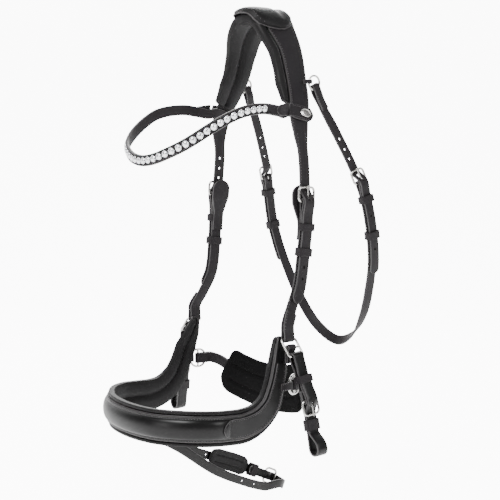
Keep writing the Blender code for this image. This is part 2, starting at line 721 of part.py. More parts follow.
def noseband_tab(side):
    """The strap stitched to the noseband's face and folded over the link's middle bar."""
    bar = np.array([LINK_MIDDLE[0], -45.0, LINK_MIDDLE[2]])
    face, _, _, out = NOSE.frame(NOSE.nearest((97, -55.5, -400)))
    face[1] = -45.0
    low = face + out*(NOSE_THICK/2 + GAP + 0.9)
    ring = [bar + 3.1*np.array([math.cos(a), 0, math.sin(a)]) for a in np.radians(np.linspace(200, 0, 11))]
    path = [low, (low + ring[0])/2 + np.array([-0.3, 0, 0])] + ring
    path += [np.array([low[0] + 4.0, -45.0, -386.5]), low + out*2.5]
    path = smooth([mirrored(p, side) for p in path], 1.0)
    lay_path("noseband_tab_" + side, path, (0, -1, 0), 11.0, 1.8)


# ---------------------------------------------------------------- chin strap

CHIN_RING = np.array([98.6, -35.2, -425.5])
CHIN_RING_WIDTH, CHIN_RING_HEIGHT = 20.0, 23.0
CHIN_BACK = unit(np.array([-0.25, 1.0, 0.0]))


def chin_ring(side):
    """An oval ring with a centre bar, between the noseband's tab and the chin strap."""
    centre = mirrored(CHIN_RING, side)
    back = mirrored(CHIN_BACK, side)
    up = np.array([0.0, 0.0, 1.0])
    loop = [centre + back*x + up*y
            for x, y in rounded_loop(CHIN_RING_WIDTH, CHIN_RING_HEIGHT, 9.0, 5)]
    ring = tube("chin_ring_" + side, loop, WIRE, True, np.cross(back, up), pivot=centre)
    half = up*(CHIN_RING_HEIGHT/2 - 0.1)
    join_bar(ring, "ring_bar_" + side, centre - half, centre + half, 1.2)


def chin_tab(side):
    """Leather on the noseband's face, hooked round the front of the chin ring."""
    wire = CHIN_RING - CHIN_BACK*CHIN_RING_WIDTH/2
    face = NOSE.at(NOSE.nearest((100.5, -65, -427)), NOSE_THICK/2 + GAP + 0.8)
    path = [np.array([face[0] + 0.9, y, wire[2]]) for y in (-60, -52)]
    path += [wire + np.array([2.5*math.cos(a), 2.5*math.sin(a) + 1.0, 0])
             for a in np.radians(np.linspace(15, 175, 7))]
    path = smooth([mirrored(p, side) for p in path], 1.2)
    lay_path("chin_tab_" + side, path, (0, 0, 1), 9.0, 1.6)


def chin_strap():
    total = CHIN.length
    point, along, across, out = CHIN.frame(0)
    offset = CHIN_RING - point
    cs, cu = float(np.dot(offset, along)), float(np.dot(offset, out))
    left = [(34, 3.0), (22, 3.0), (cs + 14, cu + 2.9), (cs + 5, cu + 2.9)]
    left += arc(cs, cu, 2.7, 75, 285, 9)
    left += [(cs + 5, cu - 2.9), (cs + 14, cu - 2.7), (22, 0)]
    right = [(total - s, u) for s, u in reversed(left)]
    lay_strap("chin_strap", CHIN, left + [(total/2, 0)] + right, 13, 2.0)
    widths = [(0, 40), (0.04, 54), (0.09, 60), (0.91, 60), (0.96, 54), (1, 40)]
    lift = -(1.0 + GAP + 4.4)
    lay_strap("chin_pad", CHIN, [(total/2 - 80, lift), (total/2, lift), (total/2 + 80, lift)],
              widths, 8.0, finish=LINING_FINISH)
    point, along, across, out = CHIN.frame(total/2 - 20)
    centre = point + out*(1.0 + GAP + WIRE)
    loop = [centre + along*x + across*y for x, y in rounded_loop(16, 19, 4.0)]
    tube("chin_buckle", loop, WIRE, True, out)


# ---------------------------------------------------------------- bit straps

BIT_HEEL = 56.0
BIT_FRAME_LIFT = 5.5
BIT_LOOP_RADIUS = 7.4


def bit_strap(side):
    """A strap folded over the link, buckled outside, with a loop for the bit at the bottom."""
    line = placed(BIT, side)
    point, along, _, out = line.frame(0)
    offset = mirrored(LINK_BOTTOM, side) - point
    bs, bu = float(np.dot(offset, along)), float(np.dot(offset, out))
    end, heel = line.length, BIT_HEEL
    chape = [(heel - 12, 2.7), (heel - 4, 2.5)] + arc(heel, BIT_FRAME_LIFT, 2.95, -80, 75, 9)
    chape += [(heel - 6, 7.6), (heel - 15, 5.5), (bs + 14, 5.6), (bs + 7, bu + 3.9)]
    inner = [(bs + 8, bu - 3.4), (bs + 17, 0), (end - 18, 0)]
    loop = arc(end - 2, BIT_LOOP_RADIUS - 0.4, BIT_LOOP_RADIUS, -80, 100, 11)
    outer = [(end - 9, 12.6), (end - 13.5, 9.2), (end - 17.5, 5.4), (end - 21, 3.2),
             (end - 25, 2.75), (heel + 22, 2.7), (heel + 17, 2.7)]
    billet = [(heel + 12.8, 3.3), (heel + 6.2, 7.9), (heel + 3.2, 10.5), (heel, 11.4),
              (heel - 4, 11.1), (heel - 13, 9.0), (heel - 20, 8.2), (heel - 27, 8.2)]
    lay_strap("bit_strap_" + side, line,
              chape + arc(bs, bu, 4.2, 75, 285, 9) + inner + loop + outer + billet,
              [(0, 15), (0.97, 15), (1, 10)], 2.2,
              slots=[(heel + 2.95, BIT_FRAME_LIFT, 20.0, 3.6), (heel + 6.4, 7.7, 12.0, 3.6)])
    buckle("bit_buckle_" + side, line, heel, 23, BIT_FRAME_LIFT, toward=1)
    tongue("bit_tongue_" + side, line, heel, BIT_FRAME_LIFT, toward=1)
    keeper("bit_keeper_" + side, line, end - 30, -1.7, 4.6, STRAP_WIDTH + 2.0, length=13)


# ---------------------------------------------------------------- flash strap

FLASH_HEEL = -4.0    # distances along the flash line; it starts behind the right jaw
FLASH_FRAME_LIFT = -2.95


def flash_loop():
    """The small loop under the noseband's centre that the flash strap passes through."""
    centre = FLASH.points[np.argmin(FLASH.points[:, 1])] + np.array([0.0, 0.4, 0.0])
    up = unit(np.array([0.0, 0.42, 0.9]))
    back = unit(np.array([0.0, 0.9, -0.42]))
    inner = rounded_loop(5.6, 13.6, 1.5, 2)
    outer = rounded_loop(8.4, 16.4, 2.6, 2)
    verts, faces = [], []
    for end in (-3.0, 3.0):
        for ring in (inner, outer):
            verts += [centre + back*x + up*y + np.array([end, 0, 0]) for x, y in ring]
    n = len(inner)
    for k in range(n):
        m = (k + 1) % n
        faces += [[k, m, n+m, n+k], [2*n+k, 2*n+m, 3*n+m, 3*n+k],
                  [k, m, 2*n+m, 2*n+k], [n+k, n+m, 3*n+m, 3*n+k]]
    new_object("flash_loop", verts, faces, LEATHER_FINISH)


def flash_strap():
    heel, lift = FLASH_HEEL, FLASH_FRAME_LIFT
    chape = [(18, -2.8), (6, -4.2)] + arc(heel, lift, 2.95, -75, -285, 9) + [(4, -0.1)]
    run = [(20, 0), (FLASH.length/2, 0), (FLASH.length, 0)]
    tail = [(-14, -27, 4), (-24, -21, 4), (-29, -12, 3), (-28.5, -4, 2), (-25, 0.2, 1),
            (-21, 0.4, 0), (-17, -0.3, 0), (-10.2, -5.6, 0), (-7.2, -8.2, 0), (-4, -9.0, 0),
            (0, -8.6, 0), (10, -6.3, 0), (24, -5.8, 0)]
    flat = smooth([(s, u, 0.0) for s, u in chape + run], 1.5)
    path = [FLASH.at(s, u) for s, u in flat[:, :2]]
    around = smooth([path[-1] - 6*FLASH.frame(FLASH.length)[1], path[-1]]
                    + [FLASH.at(s, u, w) for s, u, w in tail], 1.5)
    path = path[:-4] + list(around[5:])
    lay_path("flash_strap", path, (0, 0.42, 0.9), 11.0, 2.2)
    buckle("flash_buckle", FLASH, heel, 19, lift)
    lay_strap("flash_pad", FLASH, [(27, -3.6), (60, -3.6), (92, -3.6)],
              [(0, 14), (0.06, 20), (0.14, 24), (0.8, 24), (0.94, 20), (1, 14)], 4.0,
              finish=LINING_FINISH)


def build():
    clear_scene()
    headpiece()
    throat_lash()
    browband()
    noseband()
    chin_strap()
    flash_strap()
    for side in ("left", "right"):
        browband_end(side)
        cheekpiece(side)
        bit_strap(side)


build()
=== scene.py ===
"""A snaffle bridle: rounded, stitched leather, padding, metalwork and stones over the frame."""
import math

import bpy
import numpy as np
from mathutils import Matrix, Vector


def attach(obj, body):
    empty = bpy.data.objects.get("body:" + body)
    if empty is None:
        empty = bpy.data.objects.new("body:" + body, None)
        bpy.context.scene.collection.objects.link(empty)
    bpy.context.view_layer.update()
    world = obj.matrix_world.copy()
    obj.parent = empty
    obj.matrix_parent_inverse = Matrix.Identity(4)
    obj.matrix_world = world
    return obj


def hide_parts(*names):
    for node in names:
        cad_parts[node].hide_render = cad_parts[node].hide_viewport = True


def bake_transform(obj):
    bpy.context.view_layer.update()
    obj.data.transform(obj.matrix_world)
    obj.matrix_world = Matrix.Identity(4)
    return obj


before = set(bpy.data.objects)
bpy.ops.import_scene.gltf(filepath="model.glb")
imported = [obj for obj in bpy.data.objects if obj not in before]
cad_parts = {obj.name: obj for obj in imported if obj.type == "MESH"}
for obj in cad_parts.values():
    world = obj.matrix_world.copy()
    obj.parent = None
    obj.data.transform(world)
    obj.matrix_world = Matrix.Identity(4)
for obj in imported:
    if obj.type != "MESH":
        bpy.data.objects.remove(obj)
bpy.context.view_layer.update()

# ---- sizes and lines, in mm

GAP = 0.4            # air between pieces that lie against each other

STRAP_WIDTH = 15.0   # cheekpieces, throat lash and bit straps
STRAP_THICK = 2.2    # one layer of a cheekpiece
BILLET_THICK = 2.6   # a strap end with holes
WIRE = 1.4           # radius of buckle wire
FRAME_LIFT = 3.1     # a buckle's plane above the line of its billet
FRAME_LENGTH = 17.0  # from a buckle's heel bar to its front bar
BILLET_LIFT = 6.15   # a billet's tail above its line, on top of the doubled strap
TONGUE_WIRE = 1.0    # radius
TONGUE_HOOK = 2.75   # radius at which a tongue hooks round its heel bar
HEEL_FOLD = 2.95     # radius at which a strap folds round a heel bar
BAR_SLOT = (20.0, 3.6)     # length and width of the slot in a fold
TONGUE_SLOT = (12.0, 3.6)  # and of the one a tongue passes through
CUT = 0.35           # half width of the closed cut that a slot or hole opens from
FINE = {"pitch": 2.8, "length": 1.9}  # close stitches

HEAD_FACE = 1.5      # half the headpiece leather's thickness

BAND_HEIGHT = 13.0   # browband
BAND_THICK = 2.8
NOSE_THICK = 4.0     # noseband leather
PAD_THICK = 6.0      # padded liners

def unit(v):
    return v / np.linalg.norm(v, axis=-1, keepdims=True)


def smooth(rows, step=2.0):
    """Rows of numbers read off a smooth curve through the given rows; a row starts x, y, z."""
    rows = np.array(rows, float)
    gaps = np.linalg.norm(np.diff(rows[:, :3], axis=0), axis=1)
    slopes = np.diff(rows, axis=0) / gaps[:, None]
    middle = (rows[2:] - rows[:-2]) / (gaps[1:] + gaps[:-1])[:, None]
    tangents = np.vstack([slopes[:1], middle, slopes[-1:]])
    out = []
    for i, gap in enumerate(gaps):
        count = max(1, int(math.ceil(gap / step)))
        for t in np.arange(count) / count:
            h1, h2 = 2*t**3 - 3*t**2 + 1, t**3 - 2*t**2 + t
            h3, h4 = -2*t**3 + 3*t**2, t**3 - t**2
            out.append(h1*rows[i] + h2*gap*tangents[i] + h3*rows[i+1] + h4*gap*tangents[i+1])
    out.append(rows[-1])
    return np.array(out)


def read_rows(table, marks, x):
    """The first three columns of a table, read at x between its marks."""
    return np.array([np.interp(x, marks, table[:, k]) for k in range(3)])


def nearest_mark(points, marks, point):
    return marks[np.argmin(np.linalg.norm(points - np.array(point, float), axis=1))]


class Line:
    """A smooth master line with an outward direction and a direction across its strap."""

    def __init__(self, rows, across=None, outward=None):
        self.points = smooth([r[:3] for r in rows], 1.0)
        steps = np.linalg.norm(np.diff(self.points, axis=0), axis=1)
        self.s = np.concatenate([[0.0], np.cumsum(steps)])
        self.length = self.s[-1]
        self.along = unit(np.gradient(self.points, self.s, axis=0))
        hint = across if across is not None else outward
        hint = np.array(hint, float)
        if hint.ndim == 2:
            stations = [self.nearest(r[:3]) for r in rows]
            hint = read_rows(hint, stations, self.s).T
        else:
            hint = np.tile(hint, (len(self.s), 1))
        side = unit(hint - np.sum(hint * self.along, axis=1)[:, None] * self.along)
        if across is not None:
            self.across, self.out = side, unit(np.cross(side, self.along))
        else:
            self.out, self.across = side, unit(np.cross(self.along, side))

    def nearest(self, point):
        return nearest_mark(self.points, self.s, point)

    def read(self, table, s):
        return read_rows(table, self.s, np.clip(s, 0.0, self.length))

    def frame(self, s):
        """Point, along, across and out at s; the line runs on straight past its ends."""
        along, across, out = (unit(self.read(t, s)) for t in (self.along, self.across, self.out))
        point = self.read(self.points, s) + along * (s - np.clip(s, 0.0, self.length))
        return point, along, across, out

    def at(self, s, u=0.0, w=0.0):
        point, _, across, out = self.frame(s)
        return point + out * u + across * w

    def flipped(self):
        """The same line on the other side of the horse."""
        other = object.__new__(Line)
        other.s, other.length = self.s, self.length
        mirror = np.array([-1.0, 1.0, 1.0])
        other.points, other.along = self.points * mirror, self.along * mirror
        other.across, other.out = self.across * mirror, self.out * mirror
        return other


def arc(s, u, radius, start, end, count=7):
    """Points of an arc about (s, u), angles in degrees from +s towards +u."""
    angles = np.radians(np.linspace(start, end, count))
    return [(s + radius*math.cos(a), u + radius*math.sin(a)) for a in angles]


def rounded_loop(width, height, corner, per_corner=3):
    """Points of a rounded rectangle about (0, 0)."""
    points = []
    for cx, cy, start in ((1, 1, 0), (-1, 1, 90), (-1, -1, 180), (1, -1, 270)):
        for k in range(per_corner + 1):
            a = math.radians(start + 90*k/per_corner)
            points.append((cx*(width/2 - corner) + corner*math.cos(a),
                           cy*(height/2 - corner) + corner*math.sin(a)))
    return points


def heel_frame(line, heel, lift, toward):
    """Heel bar's centre and the directions to the front bar, across and out."""
    base, _, across, out = line.frame(heel)
    front = unit(line.at(heel + toward*FRAME_LENGTH) - base)
    return base + out*lift, front, across, unit(out - np.dot(out, front)*front)


HEAD_ROWS = [  # x, y, z and the leather's width, from the poll down the left leg
    (0, 0, 13.5, 50), (15.5, 0, 10.5, 49), (30, -0.5, -3.5, 42), (44, 3, -29, 33),
    (57.5, 1.2, -66, 29), (71, -5.5, -93, 27), (75.5, -10.5, -106, 27), (78.5, -11.5, -118, 25),
    (80.2, -11.6, -127, 22)]
LINER_ROWS = [  # distance from the poll, centre across and width of the padding
    (0, -5.5, 63), (25, -5.9, 60), (54, -9.0, 47), (75, -9.2, 42), (95, -9, 39),
    (113, -9.7, 38), (133, -7.1, 33), (143, -7.7, 27)]
CAP_FRONT = ([0, 14, 22, 30, 38], [-40, -39, -31, -17, -3])  # the cover's edges, by distance
CAP_REAR = ([0, 22, 30, 35, 38], [18, 18, 15, 9, 1])      # from the poll
CHEEK_ROWS = [(80.3, -11.6, -127.6), (81.2, -11.5, -134), (82.4, -10.4, -146),
              (83.8, -9.2, -162.6), (86.5, -9.8, -192),
              (87.4, -10.6, -212), (87.5, -11.5, -240), (86.3, -14.2, -270.7), (86, -20, -310),
              (89.4, -33, -337), (93.9, -42.4, -354), (94.6, -42.7, -364)]
THROAT_ROWS = [(67.0, 23.8, -77.5), (68.0, 30, -92), (76, 50, -130), (87.4, 73.3, -181.4),
               (92.5, 83, -215),
               (94, 90.2, -250), (89, 99, -288), (78, 106, -322), (60, 113.5, -360),
               (35, 119.5, -390), (0, 123, -405)]
BROW_ROWS = [(80.6, -46, -103.5), (80.8, -66, -101), (83.5, -88, -102.5), (83.2, -107, -107),
             (79, -124, -114.8), (73.6, -141, -125), (66.5, -155, -135), (56.5, -166, -143.6),
             (41, -174.5, -151.3), (21, -180, -158), (0, -181.5, -160.5)]
NOSE_ROWS = [  # x, y, z, leather width, liner width; the left side from its tip to the front
    (87.5, -48.5, -368, 6, 8), (92.5, -52, -386, 15, 20), (98, -57.5, -405, 21, 29),
    (100.5, -65, -427, 23, 30), (102, -74, -445, 26, 35), (102, -90, -458, 28, 38),
    (102, -110, -463.5, 29, 41), (101.5, -134, -463, 29, 41), (97, -157, -461.5, 29, 41),
    (80, -182, -460.5, 29, 41), (47, -202, -461, 29, 41), (0, -208.5, -461.5, 29, 41)]
CHIN_ROWS = [(96.2, -25.5, -425.5), (94.2, -17.7, -425.6), (88, -8, -430), (74, -1, -438),
             (45, 4, -446), (0, 5, -450)]
BIT_ROWS = [(109.0, -43.2, -386), (117.3, -40.5, -415), (125.3, -38, -443), (132, -36.5, -473),
            (137, -36, -497)]
FLASH_ROWS = [(-13.5, 4, -568.5), (-15.5, -20, -557), (-16, -42, -546), (-15, -88, -527),
              (-13.5, -140, -503), (-12.5, -168, -487), (-8.5, -185, -479),
              (0, -189.5, -477), (8.5, -185, -479.5), (12.5, -168, -488), (13.5, -140, -505),
              (15, -90, -541), (15, -42, -565), (14, -12, -577)]
LINK_TOP = np.array([95.5, -42.7, -370.5])
LINK_BOTTOM = np.array([111.5, -42.3, -389.0])
LINK_MIDDLE = (LINK_TOP + LINK_BOTTOM) / 2


def both_sides(rows):
    """A left half from its end to the middle, carried on over the right half."""
    rows = [list(map(float, r)) for r in rows]
    return rows + [[-r[0]] + r[1:] for r in reversed(rows[:-1])]


HEAD = Line(both_sides(HEAD_ROWS[::-1]), across=(0, 1, 0))
CHEEK = Line(CHEEK_ROWS, across=(0, -1, 0))
ALONG_JAW = [(0, -0.95, -0.31)]*6
THROAT_ACROSS = (ALONG_JAW + [(-0.1, -0.92, -0.38), (-0.3, -0.8, -0.5), (-0.4, -0.66, -0.64),
                              (-0.32, -0.5, -0.8), (-0.15, -0.4, -0.9), (0, -0.42, -0.91),
                              (0, -0.55, -0.83), (0, -0.72, -0.69), (0, -0.9, -0.43)] + ALONG_JAW)
THROAT = Line(both_sides(THROAT_ROWS), across=THROAT_ACROSS)
NOSE_OUT = [(x, min(y + 90, 0), 0) for x, y, *_ in both_sides(NOSE_ROWS)]
NOSE = Line(both_sides(NOSE_ROWS), outward=NOSE_OUT)
CHIN = Line(both_sides(CHIN_ROWS), across=(0, 0, -1))
BIT = Line(BIT_ROWS, across=(0, -1, 0))
FLASH = Line(FLASH_ROWS, across=(0, -0.42, -0.9))


# ---- shared strap shapes

def billet_profile(start, heel, end):
    """Side view of a billet: behind the front bar, through the frame and over the heel bar."""
    return [(start, 0), (heel - 30, 0), (heel - 19, 0), (heel - 13, 0.7), (heel - 6.2, 5.7),
            (heel - 3.2, 8.3), (heel, 9.2), (heel + 4, 8.8), (heel + 14, 6.7),
            (heel + 24, BILLET_LIFT), (end, BILLET_LIFT)]


def chape_profile(heel, end):
    """Side view of a doubled strap whose fold holds the heel bar, from its short end."""
    return ([(end, 3.35), (heel + 14, 3.5), (heel + 6, 5.0)]
            + arc(heel, FRAME_LIFT, HEEL_FOLD, 75, 285, 9)
            + [(heel + 6, 0.45), (heel + 14, 0.75), (heel + 24, 0.75)])


def placed(line, side):
    return line if side == "left" else line.flipped()


def mirrored(point, side):
    return np.array(point) * (np.array([1, 1, 1]) if side == "left" else np.array([-1, 1, 1]))


RING_CENTRE = np.array([67.0, 21.0, -69.0])
RING_RADIUS = 8.4
RING_WIRE = 1.3

THROAT_HEEL = 127.0
THROAT_TIP = 243.0

LOOP_AIR = 1.0       # slack between a leg and the browband's loop round it
LEG_CROSSING = (74.6, -8.6, -107)
TAB_LIFT = HEAD_FACE + LOOP_AIR + 1.2   # middle of the flap outside a leg
BADGE_HALF = (8.0, 5.25)


def leg_frame(side):
    """Point, along, across and out of the headpiece where the browband crosses a leg."""
    return HEAD.frame(HEAD.nearest(mirrored(LEG_CROSSING, side)))


def beside_leg(side, lift, ys):
    """Points beside a leg, a lift above its leather and at given places along Y."""
    point, _, across, out = leg_frame(side)
    return [point + out*lift + across*(y - point[1]) for y in ys]


def up_leg(side):
    along = leg_frame(side)[1]
    return along if along[2] > 0 else -along


def browband_line():
    """Behind the left leg's leather, round the forehead and behind the right leg's leather."""
    inner = -(HEAD_FACE + LOOP_AIR + BAND_THICK/2)
    left = beside_leg("left", inner, (9, -2, -14, -24))
    right = beside_leg("right", inner, (-24, -14, -2, 9))
    middle = both_sides([(74.8, -33.5, -106), (78.6, -41, -104.6)] + BROW_ROWS)
    upright = [np.array([0.0, 0.0, 1.0])]*len(middle)
    return Line(left + [np.array(r) for r in middle] + right,
                across=[up_leg("left")]*4 + upright + [up_leg("right")]*4)


CHEEK_HEEL = 83.0
CHEEK_TIP = 206.0

CHIN_RING = np.array([98.6, -35.2, -425.5])
CHIN_RING_WIDTH, CHIN_RING_HEIGHT = 20.0, 23.0
CHIN_BACK = unit(np.array([-0.25, 1.0, 0.0]))

BIT_HEEL = 56.0
BIT_FRAME_LIFT = 5.5
BIT_LOOP_RADIUS = 7.4

FLASH_HEEL = -4.0    # distances along the flash line; it starts behind the right jaw
FLASH_FRAME_LIFT = -2.95


# ---- materials

def node_material(name, color, roughness, metallic=0.0, **inputs):
    material = bpy.data.materials.new(name)
    material.use_nodes = True
    shader = material.node_tree.nodes["Principled BSDF"]
    shader.inputs["Base Color"].default_value = (*color, 1.0)
    shader.inputs["Roughness"].default_value = roughness
    shader.inputs["Metallic"].default_value = metallic
    for key, value in inputs.items():
        shader.inputs[key.replace("_", " ")].default_value = value
    return material


def grain(material, scale, strength, distance, spread=0.0):
    """Fine bumps, and a little change of roughness from place to place."""
    tree = material.node_tree
    shader = tree.nodes["Principled BSDF"]

    def node(kind, **inputs):
        made = tree.nodes.new("ShaderNode" + kind)
        for key, value in inputs.items():
            made.inputs[key.replace("_", " ")].default_value = value
        return made

    def link(source, out, target, into):
        tree.links.new(source.outputs[out], target.inputs[into])

    place, cells = node("TexCoord"), node("TexVoronoi", Scale=scale)
    noise, blend = node("TexNoise", Scale=scale*0.55, Detail=4.0), node("Math")
    blend.operation = "MULTIPLY_ADD"
    blend.inputs[1].default_value = 0.6
    bump = node("Bump", Strength=strength, Distance=distance)
    link(place, "Object", cells, "Vector")
    link(place, "Object", noise, "Vector")
    link(cells, "Distance", blend, 0)
    link(noise, "Fac", blend, 2)
    link(blend, 0, bump, "Height")
    link(bump, "Normal", shader, "Normal")
    if spread:
        base = shader.inputs["Roughness"].default_value
        broad = node("TexNoise", Scale=45.0)
        ramp = node("MapRange", To_Min=base - spread, To_Max=base + spread)
        link(place, "Object", broad, "Vector")
        link(broad, "Fac", ramp, "Value")
        link(ramp, "Result", shader, "Roughness")
    return material


LEATHER = grain(node_material("leather_black", (0.0098, 0.0083, 0.0095), 0.52,
                              Specular_IOR_Level=0.15), 1500, 0.35, 0.0002, 0.05)
# Glossier leather for the noseband, its overlays, the bit straps and the flash; its base is darker
# than the black leather as painted shade on these lower pieces.
GLOSSY_SHADED = grain(node_material("leather_glossy_painted_shade", (0.0034, 0.0031, 0.0033), 0.33,
                             Specular_IOR_Level=0.21), 1700, 0.22, 0.00015, 0.04)
# Cut edges, slot walls, strap ends and piping cords: lighter than the leather faces, partly the
# edges' own colour and partly a painted highlight along them.
EDGE_AND_HIGHLIGHT = node_material("leather_edge_painted_highlight", (0.034, 0.032, 0.033), 0.50, Specular_IOR_Level=0.3)
SUEDE = grain(node_material("suede_black", (0.0030, 0.0029, 0.0030), 0.95,
                            Specular_IOR_Level=0.06), 1100, 0.55, 0.0004)
# Soft lining leather for the paddings and cushions; darker than the black leather, partly its own
# tone and partly painted shade for the liners' inward faces.
SOFT_SHADED = grain(node_material("leather_soft_painted_shade", (0.0048, 0.0044, 0.0047), 0.52,
                           Specular_IOR_Level=0.15), 1200, 0.45, 0.0003)
THREAD = node_material("thread", (0.075, 0.072, 0.074), 0.60)
METAL = node_material("nickel", (0.54, 0.53, 0.51), 0.24, 1.0)
SETTING = node_material("setting", (0.72, 0.72, 0.74), 0.22, 1.0)
STONE = node_material("stone", (0.95, 0.96, 0.98), 0.03, 0.75, IOR=1.9)


# ---- shapes

class Shape:
    """Faces and their materials, gathered in mm and made into one object."""

    def __init__(self):
        self.verts, self.faces, self.materials, self.flat, self.slots = [], [], [], [], []

    def add(self, verts, faces, materials, flat=False):
        """materials is one material or one per face."""
        base = len(self.verts)
        self.verts += [tuple(v) for v in verts]
        for i, face in enumerate(faces):
            material = materials[i] if isinstance(materials, list) else materials
            if material not in self.slots:
                self.slots.append(material)
            self.faces.append([base + k for k in face])
            self.materials.append(self.slots.index(material))
            self.flat.append(flat)
        return self

    def make(self, name, body, slot, *nodes):
        mesh = bpy.data.meshes.new(name)
        mesh.from_pydata([Vector(v)*0.001 for v in self.verts], [], self.faces)
        for material in self.slots:
            mesh.materials.append(material)
        mesh.polygons.foreach_set("material_index", self.materials)
        mesh.polygons.foreach_set("use_smooth", [not f for f in self.flat])
        mesh.update()
        piece = bpy.data.objects.new(name, mesh)
        bpy.context.scene.collection.objects.link(piece)
        bpy.context.view_layer.objects.active = piece
        piece.select_set(True)
        bpy.ops.object.mode_set(mode="EDIT")
        bpy.ops.mesh.select_all(action="SELECT")
        bpy.ops.mesh.normals_make_consistent(inside=False)
        bpy.ops.object.mode_set(mode="OBJECT")
        piece.select_set(False)
        mesh.set_sharp_from_angle(angle=math.radians(38))
        if body:
            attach(piece, body)
        if nodes:
            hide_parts(*nodes)
        return piece


class Path:
    """A run of points with directions across and out, read by distance t."""

    def __init__(self, points, across):
        self.points = np.array(points, float)
        along = unit(np.gradient(self.points, axis=0))
        across = np.broadcast_to(np.array(across, float), self.points.shape)
        self.across = unit(across - np.sum(across*along, axis=1)[:, None]*along)
        self.out = np.cross(self.across, along)
        steps = np.linalg.norm(np.diff(self.points, axis=0), axis=1)
        self.t = np.concatenate([[0.0], np.cumsum(steps)])
        self.length = self.t[-1]

    def read(self, t):
        return tuple(read_rows(table, self.t, t) for table in (self.points, self.across, self.out))

    def near(self, point):
        return nearest_mark(self.points, self.t, point)

    def with_rows(self, marks):
        """The same path with rows at the marks, and none closer to them than a hair."""
        marks = np.array(sorted(marks))
        keep = [t for t in self.t if np.min(np.abs(marks - t)) > 0.12 or t in (0.0, self.length)]
        rows = np.unique(np.concatenate([keep, marks]))
        other = object.__new__(Path)
        other.points, other.across, other.out = (table.T for table in self.read(rows))
        other.t, other.length = rows, self.length
        return other


def side_view(line, profile, shift=0.0, step=1.2):
    """The path whose side view is the profile of (s, u) points on a master line."""
    flat = smooth([(s, u, 0.0) for s, u in profile], step)
    return Path([line.at(s, u, shift) for s, u, _ in flat], [line.frame(s)[2] for s, _, _ in flat])


def along_line(line, start, end, lift=0.0, step=2.0):
    count = max(3, int((end - start)/step))
    stations = np.linspace(start, end, count)
    return Path([line.at(s, lift) for s in stations], [line.frame(s)[2] for s in stations])


def widths_at(path, width):
    """Widths along a path: one number, (share, width) pairs, or a function of distance."""
    if callable(width):
        return np.array([width(t) for t in path.t])
    if np.isscalar(width):
        return np.full(len(path.t), float(width))
    marks = np.array(width, float)
    return np.interp(path.t/path.length, marks[:, 0], marks[:, 1])


def strap(shape, path, width, thick, top=None, slots=(), face=None, dome=0.22, edge=0.55,
          rounded=(False, False), columns=6, holes=(), radius=1.5, cap=None):
    """A strap with rounded edges, slots (t, length, width) and round holes at t.

    top(t, w) lifts the outer face."""
    if holes:
        path = path.with_rows([t + radius*math.cos(math.pi*k/8) for t in holes for k in range(9)])
    slots = list(slots) + [(t, 2*radius*0.98, None) for t in holes]
    face = face or LEATHER
    half = widths_at(path, width)/2
    marks = sorted({round(k/columns*2 - 1, 4) for k in range(columns + 1)})
    verts, ring = [], 0
    for i, t in enumerate(path.t):
        point, across, out = path.points[i], path.across[i], path.out[i]
        h, wide = thick/2, half[i]
        for end, on in ((t, rounded[0]), (path.length - t, rounded[1])):
            if on and end < half.max()*0.9:
                share = 1 - end/(half.max()*0.9)
                wide *= math.sqrt(max(0.04, 1 - share*share))
        e = min(edge, wide*0.4)
        ws = [m*(wide - e) for m in marks]
        if slots:
            hole = CUT
            for middle, length, slot_width in slots:
                if slot_width and abs(t - middle) <= length/2 + 1.5:
                    hole = slot_width/2
                elif not slot_width and abs(t - middle) < radius:
                    hole = max(CUT, math.sqrt(radius**2 - (t - middle)**2))
            hole, rim = min(hole, 0.6*(wide - e)), wide - e
            ws = [hole + (rim - hole)*f for f in (0.0, 0.25, 0.6, 1.0)]
            ws = [-w for w in reversed(ws)] + ws
        row = []
        for w in ws:
            rise = dome*(1 - (w/wide)**2) + (top(t, w) if top else 0.0)
            row.append((w, h + rise))
        row += [(wide - 0.3*e, h - 0.28*e), (wide, h - e), (wide, e - h),
                (wide - 0.3*e, 0.28*e - h)]
        row += [(w, -h - 0.5*dome*(1 - (w/wide)**2)) for w in reversed(ws)]
        row += [(0.3*e - wide, 0.28*e - h), (-wide, e - h), (-wide, h - e),
                (0.3*e - wide, h - 0.28*e)]
        if ring == 0:
            ring, n = len(row), len(ws)
            left = n//2 - 1 if slots else -1
        verts += [point + across*w + out*u for w, u in row]
    spans = [(t - length/2, t + length/2) for t, length, _ in slots]

    def inside(i):
        if not 0 <= i < len(path.t) - 1:
            return False
        return any(a <= (path.t[i] + path.t[i+1])/2 <= b for a, b in spans)

    faces, materials = [], []
    for i in range(len(path.t) - 1):
        for k in range(ring):
            m = (k + 1) % ring
            if slots and inside(i) and k in (left, n + 4 + (n - 2 - left)):
                continue
            faces.append([i*ring + k, i*ring + m, (i+1)*ring + m, (i+1)*ring + k])
            # The rounded rims take the lighter edge colour, partly a painted highlight.
            rim = n - 1 <= k <= n + 3 or k >= 2*n + 3
            materials.append(EDGE_AND_HIGHLIGHT if rim else face)
        if slots and inside(i):
            for a, b in ((left, 2*n + 3 - left), (left + 1, 2*n + 2 - left)):
                faces.append([i*ring + a, (i+1)*ring + a, (i+1)*ring + b, i*ring + b])
                materials.append(EDGE_AND_HIGHLIGHT)
    for i in range(len(path.t)):
        if slots and inside(i) != inside(i - 1):
            faces.append([i*ring + k for k in (left, left + 1, 2*n + 2 - left, 2*n + 3 - left)])
            materials.append(EDGE_AND_HIGHLIGHT)
    last = (len(path.t) - 1)*ring
    for base in (0, last):
        if slots:
            a, b = 2*n + 3 - left, 2*n + 2 - left
            faces.append([base + k for k in list(range(left + 1)) + list(range(a, ring))])
            faces.append([base + k for k in (left, left + 1, b, a)])
            faces.append([base + k for k in range(left + 1, b + 1)])
            materials += [cap or EDGE_AND_HIGHLIGHT]*3
        else:
            faces.append([base + k for k in range(ring)])
            materials.append(cap or EDGE_AND_HIGHLIGHT)
    return shape.add(verts, faces, materials)


